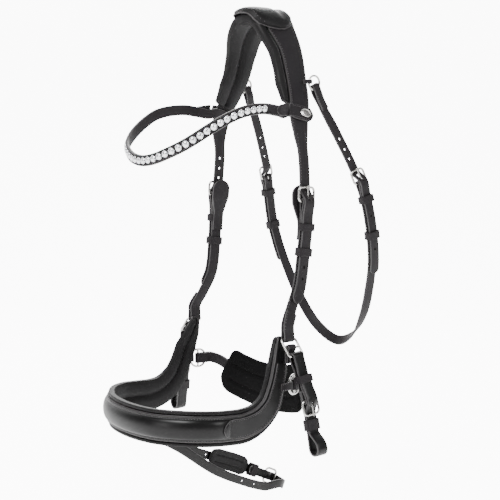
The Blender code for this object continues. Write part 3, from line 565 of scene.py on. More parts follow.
def stitch(shape, path, w, lift, start, end, face=1, pitch=3.3, length=2.3):
    """A row of thread along a path; w and lift are numbers or functions of distance."""
    count = max(1, int((end - start)/pitch))
    for k in range(count):
        t = start + (k + 0.5)*(end - start)/count
        wide = w(t) if callable(w) else w
        rise = lift(t) if callable(lift) else lift
        point, across, out = path.read(t)
        along = unit(np.cross(out, across))
        centre = point + across*wide + out*rise*face
        run = unit(along)
        side = unit(np.cross(out, run))
        verts = [centre - run*length/2 - out*face*0.15, centre + run*length/2 - out*face*0.15,
                 centre - side*0.36, centre + side*0.36,
                 centre + out*face*0.26, centre - out*face*0.4]
        shape.add(verts, [[0, 2, 4], [2, 1, 4], [1, 3, 4], [3, 0, 4], [2, 0, 5], [1, 2, 5],
                          [3, 1, 5], [0, 3, 5]], THREAD)


def loft(shape, rings, material, closed=False):
    """Skin a list of equal rings of points."""
    count, ring = len(rings), len(rings[0])
    verts = [p for r in rings for p in r]
    faces = []
    for i in range(count if closed else count - 1):
        j = (i + 1) % count
        for k in range(ring):
            m = (k + 1) % ring
            faces.append([i*ring + k, i*ring + m, j*ring + m, j*ring + k])
    if not closed:
        faces += [list(range(ring)), [(count - 1)*ring + k for k in range(ring)]]
    return shape.add(verts, faces, material)


def wire(shape, points, radius, closed, reference, material=None, sides=14):
    """A round wire with eased ends."""
    points = np.array(points, float)
    if closed:
        along = unit(np.roll(points, -1, axis=0) - np.roll(points, 1, axis=0))
        sizes = np.full(len(points), radius)
    else:
        along = unit(np.gradient(points, axis=0))
        first, last = points[0] - along[0]*radius*0.5, points[-1] + along[-1]*radius*0.5
        points = np.vstack([[first], points, [last]])
        along = np.vstack([along[:1], along, along[-1:]])
        sizes = np.array([0.55*radius] + [radius]*(len(points) - 2) + [0.55*radius])
    first = unit(np.cross(along, np.array(reference, float)))
    second = np.cross(along, first)
    angles = np.linspace(0, 2*math.pi, sides, endpoint=False)
    rings = [[p + r*(a*math.cos(x) + b*math.sin(x)) for x in angles]
             for p, a, b, r in zip(points, first, second, sizes)]
    return loft(shape, rings, material or METAL, closed)


def wire_loop(centre, across, up, reference, *size):
    """A wire round a rounded rectangle of a width, height, corner and points per corner."""
    loop = [centre + across*x + up*y for x, y in rounded_loop(*size)]
    return wire(Shape(), loop, WIRE, True, reference, sides=16)


def pad(path, width, section, material, ends):
    """A padded piece: section(half, t) gives (w, u) points, drawn in at both ends."""
    half = widths_at(path, width)/2
    rings = []
    for i, t in enumerate(path.t):
        near = min(t, path.length - t)
        share = max(0.0, 1 - near/ends)
        full = math.sqrt(max(0.03, 1 - share*share))
        points = section(half[i], t)
        middle = (max(u for _, u in points) + min(u for _, u in points))/2
        rings.append([path.points[i] + path.across[i]*w*(0.55 + 0.45*full)
                      + path.out[i]*(middle + (u - middle)*full) for w, u in points])
    return loft(Shape(), rings, material)


def padding_ring(half, centre, cover, top, thick, valley, swell=2.6):
    """Section of padding behind leather of half width cover: a roll past each of its edges,
    and two rolls with a valley between them on the horse's side."""
    low = top - thick
    sides = []
    for sign in (1, -1):
        inner = min(cover - sign*centre, half - 2.6)
        gap = min(1.8, (half - inner)*0.2)
        reach = (half - inner - gap)/2
        rise = min(swell, reach*0.8)
        side = [(inner - 0.8, top), (inner + gap*0.5, top - gap)]
        for a in np.linspace(0.35, 2.75, 7):
            side.append((half - reach - reach*math.cos(a), top + rise*math.sin(a)**0.8))
        sides.append(side + [(half, top - thick*0.3)])
    under = [(f*half, low + valley*math.exp(-(f/0.16)**2) + 0.22*thick*abs(f)**5)
             for f in np.linspace(0.97, -0.97, 19)]
    ring = sides[0] + under + [(-w, u) for w, u in reversed(sides[1])]
    return [(w + centre, u) for w, u in ring]


def keeper_loop(name, body, line, s, low, high, width, length, node=None, thick=1.4):
    """A leather loop round a stack of straps, rounded and slightly hollow between its edges."""
    point, along, across, out = line.frame(s)
    centre = point + out*(low + high)/2
    profile = [(0.0, -0.5), (0.35, -0.46), (thick, -0.5 + 0.4/length), (thick + 0.12, -0.4),
               (thick - 0.05, -0.2), (thick - 0.05, 0.2), (thick + 0.12, 0.4),
               (thick, 0.5 - 0.4/length), (0.35, 0.46), (0.0, 0.5), (0.0, 0.0)]
    base = rounded_loop(width, high - low, 1.2, 4)
    outer = rounded_loop(width + 2*thick, high - low + 2*thick, 1.2 + thick, 4)
    rings = []
    for inner_point, outer_point in zip(base, outer):
        a, b = np.array(inner_point), np.array(outer_point)
        spots = [(a + (b - a)*g/thick, f) for g, f in profile]
        rings.append([centre + across*p[0] + out*p[1] + along*f*length for p, f in spots])
    shape = loft(Shape(), rings, LEATHER, closed=True)
    return shape.make(name, body, "leather", *([node] if node else []))


def buckle_frame(name, body, line, heel, width, node, lift=FRAME_LIFT, toward=-1):
    pivot, front, across, out = heel_frame(line, heel, lift, toward)
    centre = pivot + front*FRAME_LENGTH/2
    wire_loop(centre, across, front, out, width, FRAME_LENGTH, 4.5, 6).make(
        name, body, "hardware", node)


def buckle_set(kind, side, body, line, heel, width, lift=FRAME_LIFT, toward=-1):
    """A buckle's frame on its strap, and its tongue on a body of its own."""
    buckle_frame(f"{kind}_frame_{side}", body, line, heel, width, f"{kind}_buckle_{side}",
                 lift, toward)
    node = f"{kind}_tongue_{side}"
    profile = arc(0, 0, TONGUE_HOOK, -145, 90, 13)
    profile += [(-4, 2.8), (-9, 2.85), (-FRAME_LENGTH - 1.8, 2.85)]
    pivot, front, across, out = heel_frame(line, heel, lift, toward)
    flat = smooth([(s, u, 0.0) for s, u in profile], 1.0)[:, :2]
    wire(Shape(), [pivot - front*s + out*u for s, u in flat], TONGUE_WIRE, False, across,
         sides=12).make(f"{kind}_pin_{side}", node, "hardware", node)


# ---- headpiece

HALF = HEAD.length/2
head_table = np.array([(HEAD.nearest(r[:3]), r[3]) for r in both_sides(HEAD_ROWS[::-1])])


def head_width(s):
    return float(np.interp(s, head_table[:, 0], head_table[:, 1]))


FAR_FRONT = ([0, 26, 32, 35, 38], [-40, -38, -33, -22, -5])   # the cover's edge on the right


def headpiece():
    path = along_line(HEAD, 0, HEAD.length)
    shape = strap(Shape(), path, head_width, 2.9, columns=10, edge=0.7, cap=LEATHER, dome=0.4)
    for sign in (1, -1):
        for first, last in ((5, HALF - 27), (HALF + 27, HEAD.length - 5)):
            stitch(shape, path, lambda t: sign*(head_width(t)/2 - 2.1), 1.55, first, last)
    shape.make("headpiece_leather_skin", "headpiece", "leather", "headpiece_leather")

    rows = [(HALF + d, c, w) for d, c, w in LINER_ROWS]
    rows = [(HALF - d, c, w) for d, c, w in reversed(LINER_ROWS)] + rows[1:]
    table = np.array(rows)
    path = along_line(HEAD, rows[0][0], rows[-1][0], 0.0, 1.6)
    start = rows[0][0]

    def section(half, t):
        s = start + t
        centre = np.interp(s, table[:, 0], table[:, 1])
        half = np.interp(s, table[:, 0], table[:, 2])/2
        thick = np.interp(abs(s - HALF), [0, 20, 60], [9.7, 8.0, PAD_THICK])
        return padding_ring(half, centre, head_width(s)/2 + 0.3, -1.9, thick, 4.6, 5.0)

    shape = pad(path, 60, section, SOFT_SHADED, ends=4)
    shape.make("headpiece_padding", "headpiece", "lining", "headpiece_liner")

    reach = 38.0
    path = along_line(HEAD, HALF - reach, HALF + reach, 0.0, 1.0)

    def rim(t):
        """Front and rear edge of the cover, and how full it is."""
        q = min(abs(t - reach), reach)
        edge = CAP_FRONT if t > reach else FAR_FRONT
        return (float(np.interp(q, *edge)), float(np.interp(q, *CAP_REAR)) + 3.0,
                1.5 + 6.6*(1 - (q/(reach + 1))**4)**0.5)

    def height(t, f):
        fade = max(0.0, 1 - (abs(t - reach)/30)**2)
        dip = 1 - 0.5*fade*math.exp(-((f - 0.73)/0.09)**2)
        return 2.4 + rim(t)[2]*max(0.0, 1 - abs(2*f - 1)**5)**0.5*dip

    rings, front_edge, rear_edge = [], [], []
    for i, t in enumerate(path.t):
        front, rear, _ = rim(t)
        ring = [(front + (rear - front)*f, height(t, f)) for f in np.linspace(0.0, 1.0, 25)]
        ring += [(rear - 0.4, 2.0), ((front + rear)/2, 1.9), (front + 0.4, 2.0)]
        point, across, out = path.points[i], path.across[i], path.out[i]
        rings.append([point + across*w + out*u for w, u in ring])
        front_edge.append(point + across*front + out*2.2)
        rear_edge.append(point + across*rear + out*2.2)
    shape = loft(Shape(), rings, SOFT_SHADED)
    # A light cord round the cover's edges in the edge colour, partly a painted highlight.
    wire(shape, front_edge + rear_edge[::-1], 0.85, True, (0.1, 0.2, 1.0), EDGE_AND_HIGHLIGHT, sides=8)
    inset = 3.4
    for sign in (1, -1):
        stitch(shape, path, lambda t: rim(t)[0] + inset if sign > 0 else rim(t)[1] - inset,
               lambda t: height(t, min(0.5, inset/max(7.0, rim(t)[1] - rim(t)[0]))) + 0.1,
               4, path.length - 4, pitch=3.0, length=2.0)
    shape.make("crown_cushion", "headpiece", "leather", "crown_cap")


# ---- throat lash

def throat_lash(side):
    line = placed(THROAT, side)
    centre = mirrored(RING_CENTRE, side)
    ring = [centre + RING_RADIUS*np.array([0, math.cos(a), math.sin(a)])
            for a in np.linspace(0, 2*math.pi, 40, endpoint=False)]
    wire(Shape(), ring, RING_WIRE, True, (1, 0, 0)).make(
        "ring_" + side, "throat_lash", "hardware", "throat_ring_" + side)

    ring_y = RING_CENTRE[1] - RING_RADIUS
    x, fold_y, z = RING_CENTRE[0], ring_y + 1.5, RING_CENTRE[2] + 1.2
    tab = [(x - 2.4, 6.5), (x - 2.4, 9.5), (x - 2.4, fold_y - 1)]
    tab += [(x - 2.4*math.cos(a), fold_y + 2.4*math.sin(a)) for a in np.linspace(0.2, 2.94, 7)]
    tab += [(x + 2.4, fold_y - 1), (x + 1.6, 10.5), (x - 0.3, 8.5), (x - 0.5, 6)]
    path = Path(smooth([mirrored((px, py, z), side) for px, py in tab], 0.8), (0, 0, 1))
    shape = strap(Shape(), path, 5.2, 1.1, dome=0.1, edge=0.3)
    shape.make("ring_tab_skin_" + side, "headpiece", "leather", "ring_tab_" + side)

    point, along, _, out = line.frame(0)
    low = mirrored(RING_CENTRE + RING_RADIUS*np.array([0, 0.31, -0.95]), side) - point
    cs, cu = float(np.dot(low, along)) - 3.0, float(np.dot(low, out))
    profile = ([(26, 3.2), (14, 3.3), (cs + 7, cu + 3.2)] + arc(cs, cu, 3.1, 80, 280, 9)
               + [(cs + 7, cu - 3.0), (16, 0.0)] + billet_profile(24, THROAT_HEEL, THROAT_TIP))
    path = side_view(line, profile)
    slot = path.near(line.at(THROAT_HEEL - 6.4, 5.5))
    holes = [path.near(line.at(s)) for s in (THROAT_HEEL - 60, THROAT_HEEL - 46, THROAT_HEEL - 32)]
    holes += [path.near(line.at(s, BILLET_LIFT)) for s in (THROAT_HEEL + 42, THROAT_HEEL + 84)]
    shape = strap(Shape(), path, [(0, 10), (0.14, 10), (0.3, 13), (1, 13)], BILLET_THICK - 0.4,
                  slots=[(slot, *TONGUE_SLOT)], rounded=(False, True), holes=holes, radius=1.8)
    for w in (-3.6, 3.6):
        stitch(shape, path, w, 1.2, 2, 20, face=-1, **FINE)
    shape.make("throat_end_" + side, "throat_lash", "leather", "throat_billet_" + side)
    buckle_set("throat", side, "throat_lash", line, THROAT_HEEL, 20)
    keeper_loop("throat_loop_" + side, "throat_lash", line, THROAT_HEEL + 66, -1.2, 8.4, 14.6, 10,
                "throat_keeper_" + side)
    keeper_loop("throat_upper_loop_" + side, "throat_lash", line, THROAT_HEEL + 21, -1.2, 9.0,
                14.6, 9)


def throat_strap():
    total = THROAT.length
    left = chape_profile(THROAT_HEEL, THROAT_HEEL + 26)
    right = [(total - s, u) for s, u in reversed(left)]
    middle = [(THROAT_HEEL + 60, 0.75), (total/2, 0.75), (total - THROAT_HEEL - 60, 0.75)]
    path = side_view(THROAT, left + middle + right)
    bends = [path.near(THROAT.at(s, FRAME_LIFT))
             for s in (THROAT_HEEL - HEEL_FOLD, total - THROAT_HEEL + HEEL_FOLD)]
    shape = strap(Shape(), path, 13, STRAP_THICK, slots=[(bend, *BAR_SLOT) for bend in bends])
    for w in (-4.9, 4.9):
        for start, end in ((1, 17), (path.length - 17, path.length - 1)):
            stitch(shape, path, w, 1.2, start, end, face=-1, **FINE)
        stitch(shape, path, w, 1.25, bends[0] + 16, bends[1] - 16, pitch=3.6)
    shape.make("throat_strap_skin", "throat_lash", "leather", "throat_strap")


# ---- browband

def brilliant(shape, centre, out, up):
    """A round cut stone in a cup with a rounded rim and four prongs."""
    side = unit(np.cross(up, out))
    up = np.cross(out, side)

    def ring(radius, lift, count, turn=0.0):
        return [centre + side*radius*math.cos(a) + up*radius*math.sin(a) + out*lift
                for a in np.linspace(0, 2*math.pi, count, endpoint=False) + turn]

    count = 8
    girdle, crown, table = ring(3.6, 0.9, 16), ring(2.85, 1.9, 8, math.pi/8), ring(1.95, 2.4, 8)
    verts = girdle + crown + table
    faces = [list(range(24, 32))]
    for k in range(count):
        n = (k + 1) % count
        faces += [[2*k, 2*k + 1, 16 + k], [2*k + 1, (2*k + 2) % 16, 16 + k],
                  [16 + k, (2*k + 2) % 16, 16 + n], [24 + k, 16 + k, 24 + n],
                  [24 + n, 16 + k, 16 + n]]
    faces.append(list(range(15, -1, -1)))
    shape.add(verts, faces, STONE, flat=True)
    cup = [(4.0, -0.6), (4.25, 0.3), (4.15, 1.0), (3.9, 1.3), (3.65, 1.15), (3.5, 0.6), (3.5, -0.6)]
    rings = []
    for a in np.linspace(0, 2*math.pi, 18, endpoint=False):
        ray = side*math.cos(a) + up*math.sin(a)
        rings.append([centre + ray*r + out*u for r, u in cup])
    loft(shape, rings, SETTING, closed=True)
    for k in range(4):
        a = math.pi/4 + k*math.pi/2
        ray = side*math.cos(a) + up*math.sin(a)
        tip = [centre + ray*3.85 + out*1.15, centre + ray*3.2 + out*1.8]
        wire(shape, tip, 0.42, False, side*math.sin(a) - up*math.cos(a), SETTING, sides=6)


def browband():
    line = browband_line()
    total = line.length
    path = along_line(line, 0, total, 0.0, 1.6)
    first, last = line.nearest((81.2, -69, -101)), line.nearest((-81.2, -69, -101))
    outward = 1.0 if line.frame(first)[3][0] > 0 else -1.0

    def lip(t, w):
        on = min(1.0, max(0.0, (min(t, total - t) - 66)/8))
        return on*max(0.0, 1 - ((abs(w) - 5.2)/1.4)**2)

    width = [(0, 9), (0.05, 11), (0.12, BAND_HEIGHT), (0.88, BAND_HEIGHT), (0.95, 11), (1, 9)]
    if outward < 0:
        path.across, path.out = -path.across, -path.out
    shape = strap(Shape(), path, width, BAND_THICK, top=lip, columns=18, edge=0.6)
    for w in (-5.2, 5.2):
        stitch(shape, path, w, BAND_THICK/2 + 1.05, 50, total - 50, pitch=2.9, length=1.9)
    shape.make("browband_skin", "browband", "leather", "browband")
    for side in ("left", "right"):
        near = beside_leg(side, TAB_LIFT, (-28.5,))[0]
        point, _, _, out = line.frame(line.nearest(mirrored((80.6, -50, -103), side)))
        far = point + out*outward*(BAND_THICK/2 + 0.9)
        ramp = smooth([far, far*0.72 + near*0.28 + out*outward*0.6, far*0.25 + near*0.75, near],
                      0.8)
        path = Path(ramp, (0, 0, 1))
        wrap = strap(Shape(), path, [(0, 10.5), (0.2, 12.6), (1, 15)], 1.6, rounded=(True, False))
        wrap.make("browband_wrap_" + side, "browband", "leather")
    shape = Shape()
    count = int((last - first)/8.9)
    for k in range(count + 1):
        s = first + (last - first)*k/count
        point, _, across, out = line.frame(s)
        out = out*outward
        brilliant(shape, point + out*(BAND_THICK/2 + 0.5), out, across)
    shape.make("stones", "browband", "crystals", "crystal_strip")


def browband_end(side):
    line = Line(beside_leg(side, TAB_LIFT, (-27, -18, -8, 0, 8)), across=up_leg(side))
    path = along_line(line, 0, line.length, 0.0, 1.2)
    out = leg_frame(side)[3]
    face = 1 if np.dot(path.out[0], out) > 0 else -1
    shape = strap(Shape(), path, [(0, 15), (0.3, 18), (0.85, 18), (1, 15)], 2.4,
                  rounded=(False, True))
    for w in (-6.6, 6.6):
        stitch(shape, path, w, 1.32, 3, path.length - 6, face=face, **FINE)
    shape.make("browband_tab_" + side, "browband_end_" + side, "leather", "browband_end_" + side)
    centre = beside_leg(side, TAB_LIFT + 1.2 + GAP, (-4.5,))[0]
    up = np.array(up_leg(side))
    across = unit(np.cross(up, out))
    rings = []
    for share, rise in ((0.02, 1.75), (0.5, 1.7), (0.8, 1.5), (0.84, 1.3), (0.9, 1.55), (0.98, 1.4),
                        (1.0, 0.9), (0.97, 0.0), (0.02, 0.0)):
        rings.append([centre + across*BADGE_HALF[0]*share*math.cos(a)
                      + up*BADGE_HALF[1]*share*math.sin(a) + out*rise
                      for a in np.linspace(0, 2*math.pi, 36, endpoint=False)])
    loft(Shape(), rings, METAL).make("button_" + side, "browband_end_" + side, "hardware",
                                     "badge_" + side)


# ---- cheekpieces

def cheekpiece(side):
    line, body = placed(CHEEK, side), "cheek_" + side
    path = side_view(line, billet_profile(-5.0, CHEEK_HEEL, CHEEK_TIP))
    slot = path.near(line.at(CHEEK_HEEL - 6.4, 5.5))
    upper = (CHEEK_HEEL - 48, CHEEK_HEEL - 35, CHEEK_HEEL - 22)
    holes = [path.near(line.at(s)) for s in upper if side == "right"]
    holes += [path.near(line.at(s, BILLET_LIFT)) for s in (CHEEK_HEEL + 78, CHEEK_HEEL + 92)]

    def width(t):
        return float(np.interp(t, [6, 15, 25], [22, 18.4, STRAP_WIDTH])) - 0.7*(t < 6)

    shape = strap(Shape(), path, width, BILLET_THICK - 0.2, slots=[(slot, *TONGUE_SLOT)],
                  rounded=(False, True), holes=holes, radius=1.9)
    face = 1 if np.dot(path.out[5], mirrored((1, 0, 0), side)) > 0 else -1
    for w in (-5.9, 5.9):
        stitch(shape, path, w, 1.4, 6, path.near(line.at(CHEEK_HEEL - 24)), face=face, pitch=3.4)
    piece = shape.make("cheek_end_" + side, None, "leather", "cheek_billet_" + side)
    top, low = Vector(line.at(0.4))*0.001, Vector(line.at(14))*0.001
    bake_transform(piece)
    buckle_set("cheek", side, body, line, CHEEK_HEEL, 23)
    keeper_loop("cheek_loop_" + side, body, line, CHEEK_HEEL + 60, -1.1, 8.4, STRAP_WIDTH + 1.6, 10,
                "cheek_keeper_" + side)
    keeper_loop("cheek_upper_loop_" + side, body, line, CHEEK_HEEL + 30, -1.1, 8.4,
                STRAP_WIDTH + 1.6, 9)

    point, along, _, out = line.frame(line.length)
    offset = mirrored(LINK_TOP, side) - point
    s, u = line.length + float(np.dot(offset, along)), float(np.dot(offset, out))
    profile = chape_profile(CHEEK_HEEL, CHEEK_HEEL + 27)
    profile += [(CHEEK_HEEL + 60, 0.75), (line.length - 32, 0.5), (s - 9, u - 2.4)]
    profile += arc(s, u, 3.1, -80, 80, 9)
    profile += [(s - 9, u + 2.6), (s - 18, 3.3), (s - 32, 3.3)]
    path = side_view(line, profile)
    bend = path.near(line.at(CHEEK_HEEL - HEEL_FOLD, FRAME_LIFT))
    shape = strap(Shape(), path, STRAP_WIDTH, STRAP_THICK, slots=[(bend, *BAR_SLOT)])
    for w in (-5.7, 5.7):
        stitch(shape, path, w, 1.2, 1, 18, face=-face, **FINE)
        stitch(shape, path, w, 1.2, path.length - 22, path.length - 1, face=-face, **FINE)
        stitch(shape, path, w, 1.25, path.near(line.at(CHEEK_HEEL + 34, 0.75)), path.length - 52,
               face=face, pitch=3.6)
    shape.make("cheek_strap_skin_" + side, body, "leather", "cheek_strap_" + side)

    profile = [(CHEEK_HEEL - 20, -7.4), (CHEEK_HEEL - 2, -7.4), (CHEEK_HEEL + 14, -5.2),
               (CHEEK_HEEL + 30, -2.6), (CHEEK_HEEL + 46, -2.2)]
    path = side_view(line, profile)
    widths = [(0, 26), (0.34, 26), (0.5, 20), (0.64, STRAP_WIDTH), (1, STRAP_WIDTH)]
    shape = strap(Shape(), path, widths, 2.4, rounded=(True, False), columns=10, dome=0.5)
    for sign in (1, -1):
        stitch(shape, path,
               lambda t: sign*(float(np.interp(t/path.length, *zip(*widths)))/2 - 2.2),
               1.2, 4, path.length*0.8, face=face, pitch=3.0, length=2.0)
    shape.make("guard_" + side, body, "leather", "buckle_guard_" + side)

    top, bottom = mirrored(LINK_TOP, side), mirrored(LINK_BOTTOM, side)
    middle, down = (top + bottom)/2, unit(bottom - top)
    across = np.array([0.0, 1.0, 0.0])
    height = float(np.linalg.norm(bottom - top))
    shape = wire_loop(middle, across, down, np.cross(across, down), 21.4, height, 3.6, 6)
    wire(shape, [middle - across*10.6, middle, middle + across*10.6], 1.3, False, down)
    shape.make("link_" + side, body, "hardware", "cheek_link_" + side)


# ---- noseband

nose_rows = both_sides(NOSE_ROWS)
nose_at = np.array([NOSE.nearest(r[:3]) for r in nose_rows])
ROLL_START = 150.0


def nose_width(s, column):
    return float(np.interp(s, nose_at, [r[column] for r in nose_rows]))


def roll_height(s):
    """Height of the padded roll on the noseband's face."""
    near = min(s, NOSE.length - s) - ROLL_START
    if near <= 0:
        return 0.0
    return 4.4*math.sqrt(1 - max(0.0, 1 - near/14.0)**2)


def noseband():
    total = NOSE.length
    path = along_line(NOSE, 0, total, 0.0, 1.6)

    def roll(t, w):
        half = nose_width(t, 3)/2 - 3.0
        return roll_height(t)*max(0.0, 1 - (w/max(0.1, half))**2)**0.55

    shape = strap(Shape(), path, lambda t: nose_width(t, 3), NOSE_THICK - 0.6, top=roll,
                  face=GLOSSY_SHADED, columns=30, edge=0.9, dome=0.15)
    for sign in (1, -1):
        stitch(shape, path, lambda t: sign*(nose_width(t, 3)/2 - 2.0), NOSE_THICK/2 - 0.1,
               ROLL_START + 8, total - ROLL_START - 8, pitch=3.1, length=2.2)
    # Light cords along the leather's edges in the edge colour, partly a painted highlight.
    for sign in (1, -1):
        cord = []
        for t in path.t[6:-6]:
            point, across, out = path.read(t)
            cord.append(point + across*sign*(nose_width(t, 3)/2 + 0.15) - out*1.0)
        wire(shape, cord, 0.75, False, NOSE.across[0], EDGE_AND_HIGHLIGHT, sides=8)
    shape.make("noseband_skin", "noseband", "leather", "noseband_leather")

    path = along_line(NOSE, 0, total, 0.0, 2.0)

    def section(half, t):
        return padding_ring(half, 0.0, nose_width(t, 3)/2 + 0.3, -(NOSE_THICK/2 + 0.4),
                            PAD_THICK + 0.4, 3.2)

    shape = pad(path, lambda t: nose_width(t, 4), section, SOFT_SHADED, ends=5)
    shape.make("noseband_padding", "noseband", "lining", "noseband_liner")


def overlay(side):
    """A pointed patch stitched over the end of the roll and back along the cheek."""
    start, end = 34.0, ROLL_START + 9
    if side == "right":
        start, end = NOSE.length - ROLL_START - 9, NOSE.length - 34.0
    path = along_line(NOSE, start, end, NOSE_THICK/2 + 0.55, 0.9)
    tip_at = path.length if side == "left" else 0.0
    reach = 17.0

    def width(t):
        s = start + t
        full = nose_width(s, 3) - 6.5
        away = min(1.0, abs(t - tip_at)/reach)
        return max(2.0, full*math.sqrt(away*(2 - away)))

    def over(t, w):
        s = start + t
        half = nose_width(s, 3)/2 - 3.0
        return max(0.0, roll_height(s) - 0.2)*max(0.0, 1 - (w/half)**2)**0.55

    shape = strap(Shape(), path, width, 1.5, top=over, columns=16, edge=0.45, dome=0.3, face=GLOSSY_SHADED)
    for sign in (1, -1):
        stitch(shape, path, lambda t: sign*max(0.0, width(t)/2 - 1.9),
               lambda t: 0.85 + over(t, max(0.0, width(t)/2 - 1.9)),
               5, path.length - 5, pitch=2.9, length=2.0)
    # A light cord round the patch in the edge colour, partly a painted highlight.
    outline = []
    for sign in (1, -1):
        side_line = []
        for t in path.t:
            point, across, out = path.read(t)
            w = width(t)/2 - 0.2
            side_line.append(point + across*sign*w + out*(0.7 + over(t, w)))
        outline += side_line if (sign > 0) == (side == "left") else side_line[::-1]
    wire(shape, outline, 0.5, False, (0.1, 0.2, 1.0), EDGE_AND_HIGHLIGHT, sides=8)
    shape.make("overlay_" + side, "noseband", "leather")


def noseband_side(side):
    bar = np.array([LINK_MIDDLE[0], -45.0, LINK_MIDDLE[2]])
    face, _, _, out = NOSE.frame(NOSE.nearest((97, -55.5, -400)))
    face[1] = -45.0
    low = face + out*(NOSE_THICK/2 + GAP + 0.9)
    ring = [bar + 3.1*np.array([math.cos(a), 0, math.sin(a)])
            for a in np.radians(np.linspace(200, 0, 15))]
    points = [low, (low + ring[0])/2 + np.array([-0.3, 0, 0])] + ring
    points += [np.array([low[0] + 4.0, -45.0, -386.5]), low + out*2.5]
    path = Path(smooth([mirrored(p, side) for p in points], 0.8), (0, -1, 0))
    strap(Shape(), path, 11.0, 1.8, edge=0.45).make(
        "link_tab_" + side, "noseband", "leather", "noseband_tab_" + side)

    wire_at = CHIN_RING - CHIN_BACK*CHIN_RING_WIDTH/2
    face = NOSE.at(NOSE.nearest((100.5, -65, -427)), NOSE_THICK/2 + GAP + 0.8)
    points = [np.array([face[0] + 0.9, y, wire_at[2]]) for y in (-60, -52)]
    points += [wire_at + np.array([2.5*math.cos(a), 2.5*math.sin(a) + 1.0, 0])
               for a in np.radians(np.linspace(15, 175, 9))]
    path = Path(smooth([mirrored(p, side) for p in points], 0.8), (0, 0, 1))
    shape = strap(Shape(), path, 9.0, 1.6, edge=0.4)
    face = 1 if np.dot(path.out[2], mirrored((1, 0, 0), side)) > 0 else -1
    for w in (-3.2, 3.2):
        stitch(shape, path, w, 0.95, 1, 11, face=face, pitch=2.6, length=1.8)
    shape.make("ring_strap_" + side, "noseband", "leather", "chin_tab_" + side)

    centre, back = mirrored(CHIN_RING, side), mirrored(CHIN_BACK, side)
    up = np.array([0.0, 0.0, 1.0])
    shape = wire_loop(centre, back, up, np.cross(back, up), CHIN_RING_WIDTH, CHIN_RING_HEIGHT,
                      9.0, 9)
    half = up*(CHIN_RING_HEIGHT/2 - 0.1)
    wire(shape, [centre - half, centre, centre + half], 1.2, False, back)
    shape.make("chin_loop_" + side, "chin", "hardware", "chin_ring_" + side)


def chin_strap():
    total = CHIN.length
    point, along, _, out = CHIN.frame(0)
    offset = CHIN_RING - point
    cs, cu = float(np.dot(offset, along)), float(np.dot(offset, out))
    left = [(34, 3.0), (22, 3.0), (cs + 14, cu + 2.9), (cs + 5, cu + 2.9)]
    left += arc(cs, cu, 2.7, 75, 285, 9)
    left += [(cs + 5, cu - 2.9), (cs + 14, cu - 2.7), (22, 0)]
    right = [(total - s, u) for s, u in reversed(left)]
    path = side_view(CHIN, left + [(total/2, 0)] + right)
    shape = strap(Shape(), path, 13, 2.0)
    for w in (-4.8, 4.8):
        for start, end in ((1, 18), (path.length - 19, path.length - 1)):
            stitch(shape, path, w, 1.1, start, end, face=-1, **FINE)
    shape.make("chin_strap_skin", "chin", "leather", "chin_strap")

    ends = 80.0
    lift = -(1.0 + GAP + 4.4)
    path = along_line(CHIN, total/2 - ends, total/2 + ends, lift, 1.6)
    shares = [(0, 40), (0.04, 54), (0.09, 60), (0.91, 60), (0.96, 54), (1, 40)]

    def quilt(half, t):
        near = min(t, path.length - t)
        deep = 1.9*min(1.0, max(0.0, (near - 9)/5))
        front = [(half*x, -4.0 + 0.9*x*x + deep*math.exp(-((abs(x) - 0.36)/0.055)**2))
                 for x in np.linspace(-0.92, 0.92, 31)]
        return ([(-half, 0.6), (-half*0.985, -1.8)] + front
                + [(half*0.985, -1.8), (half, 0.6), (half*0.97, 2.8), (half*0.88, 3.9),
                   (0, 4.0), (-half*0.88, 3.9), (-half*0.97, 2.8)])

    shape = pad(path, shares, quilt, SUEDE, ends=9)
    shape.make("chin_cushion", "chin", "lining", "chin_pad")
    point, along, across, out = CHIN.frame(total/2 - 20)
    centre = point + out*(1.0 + GAP + WIRE)
    wire_loop(centre, along, across, out, 16, 19, 4.0, 6).make(
        "chin_frame", "chin", "hardware", "chin_buckle")


# ---- bit straps

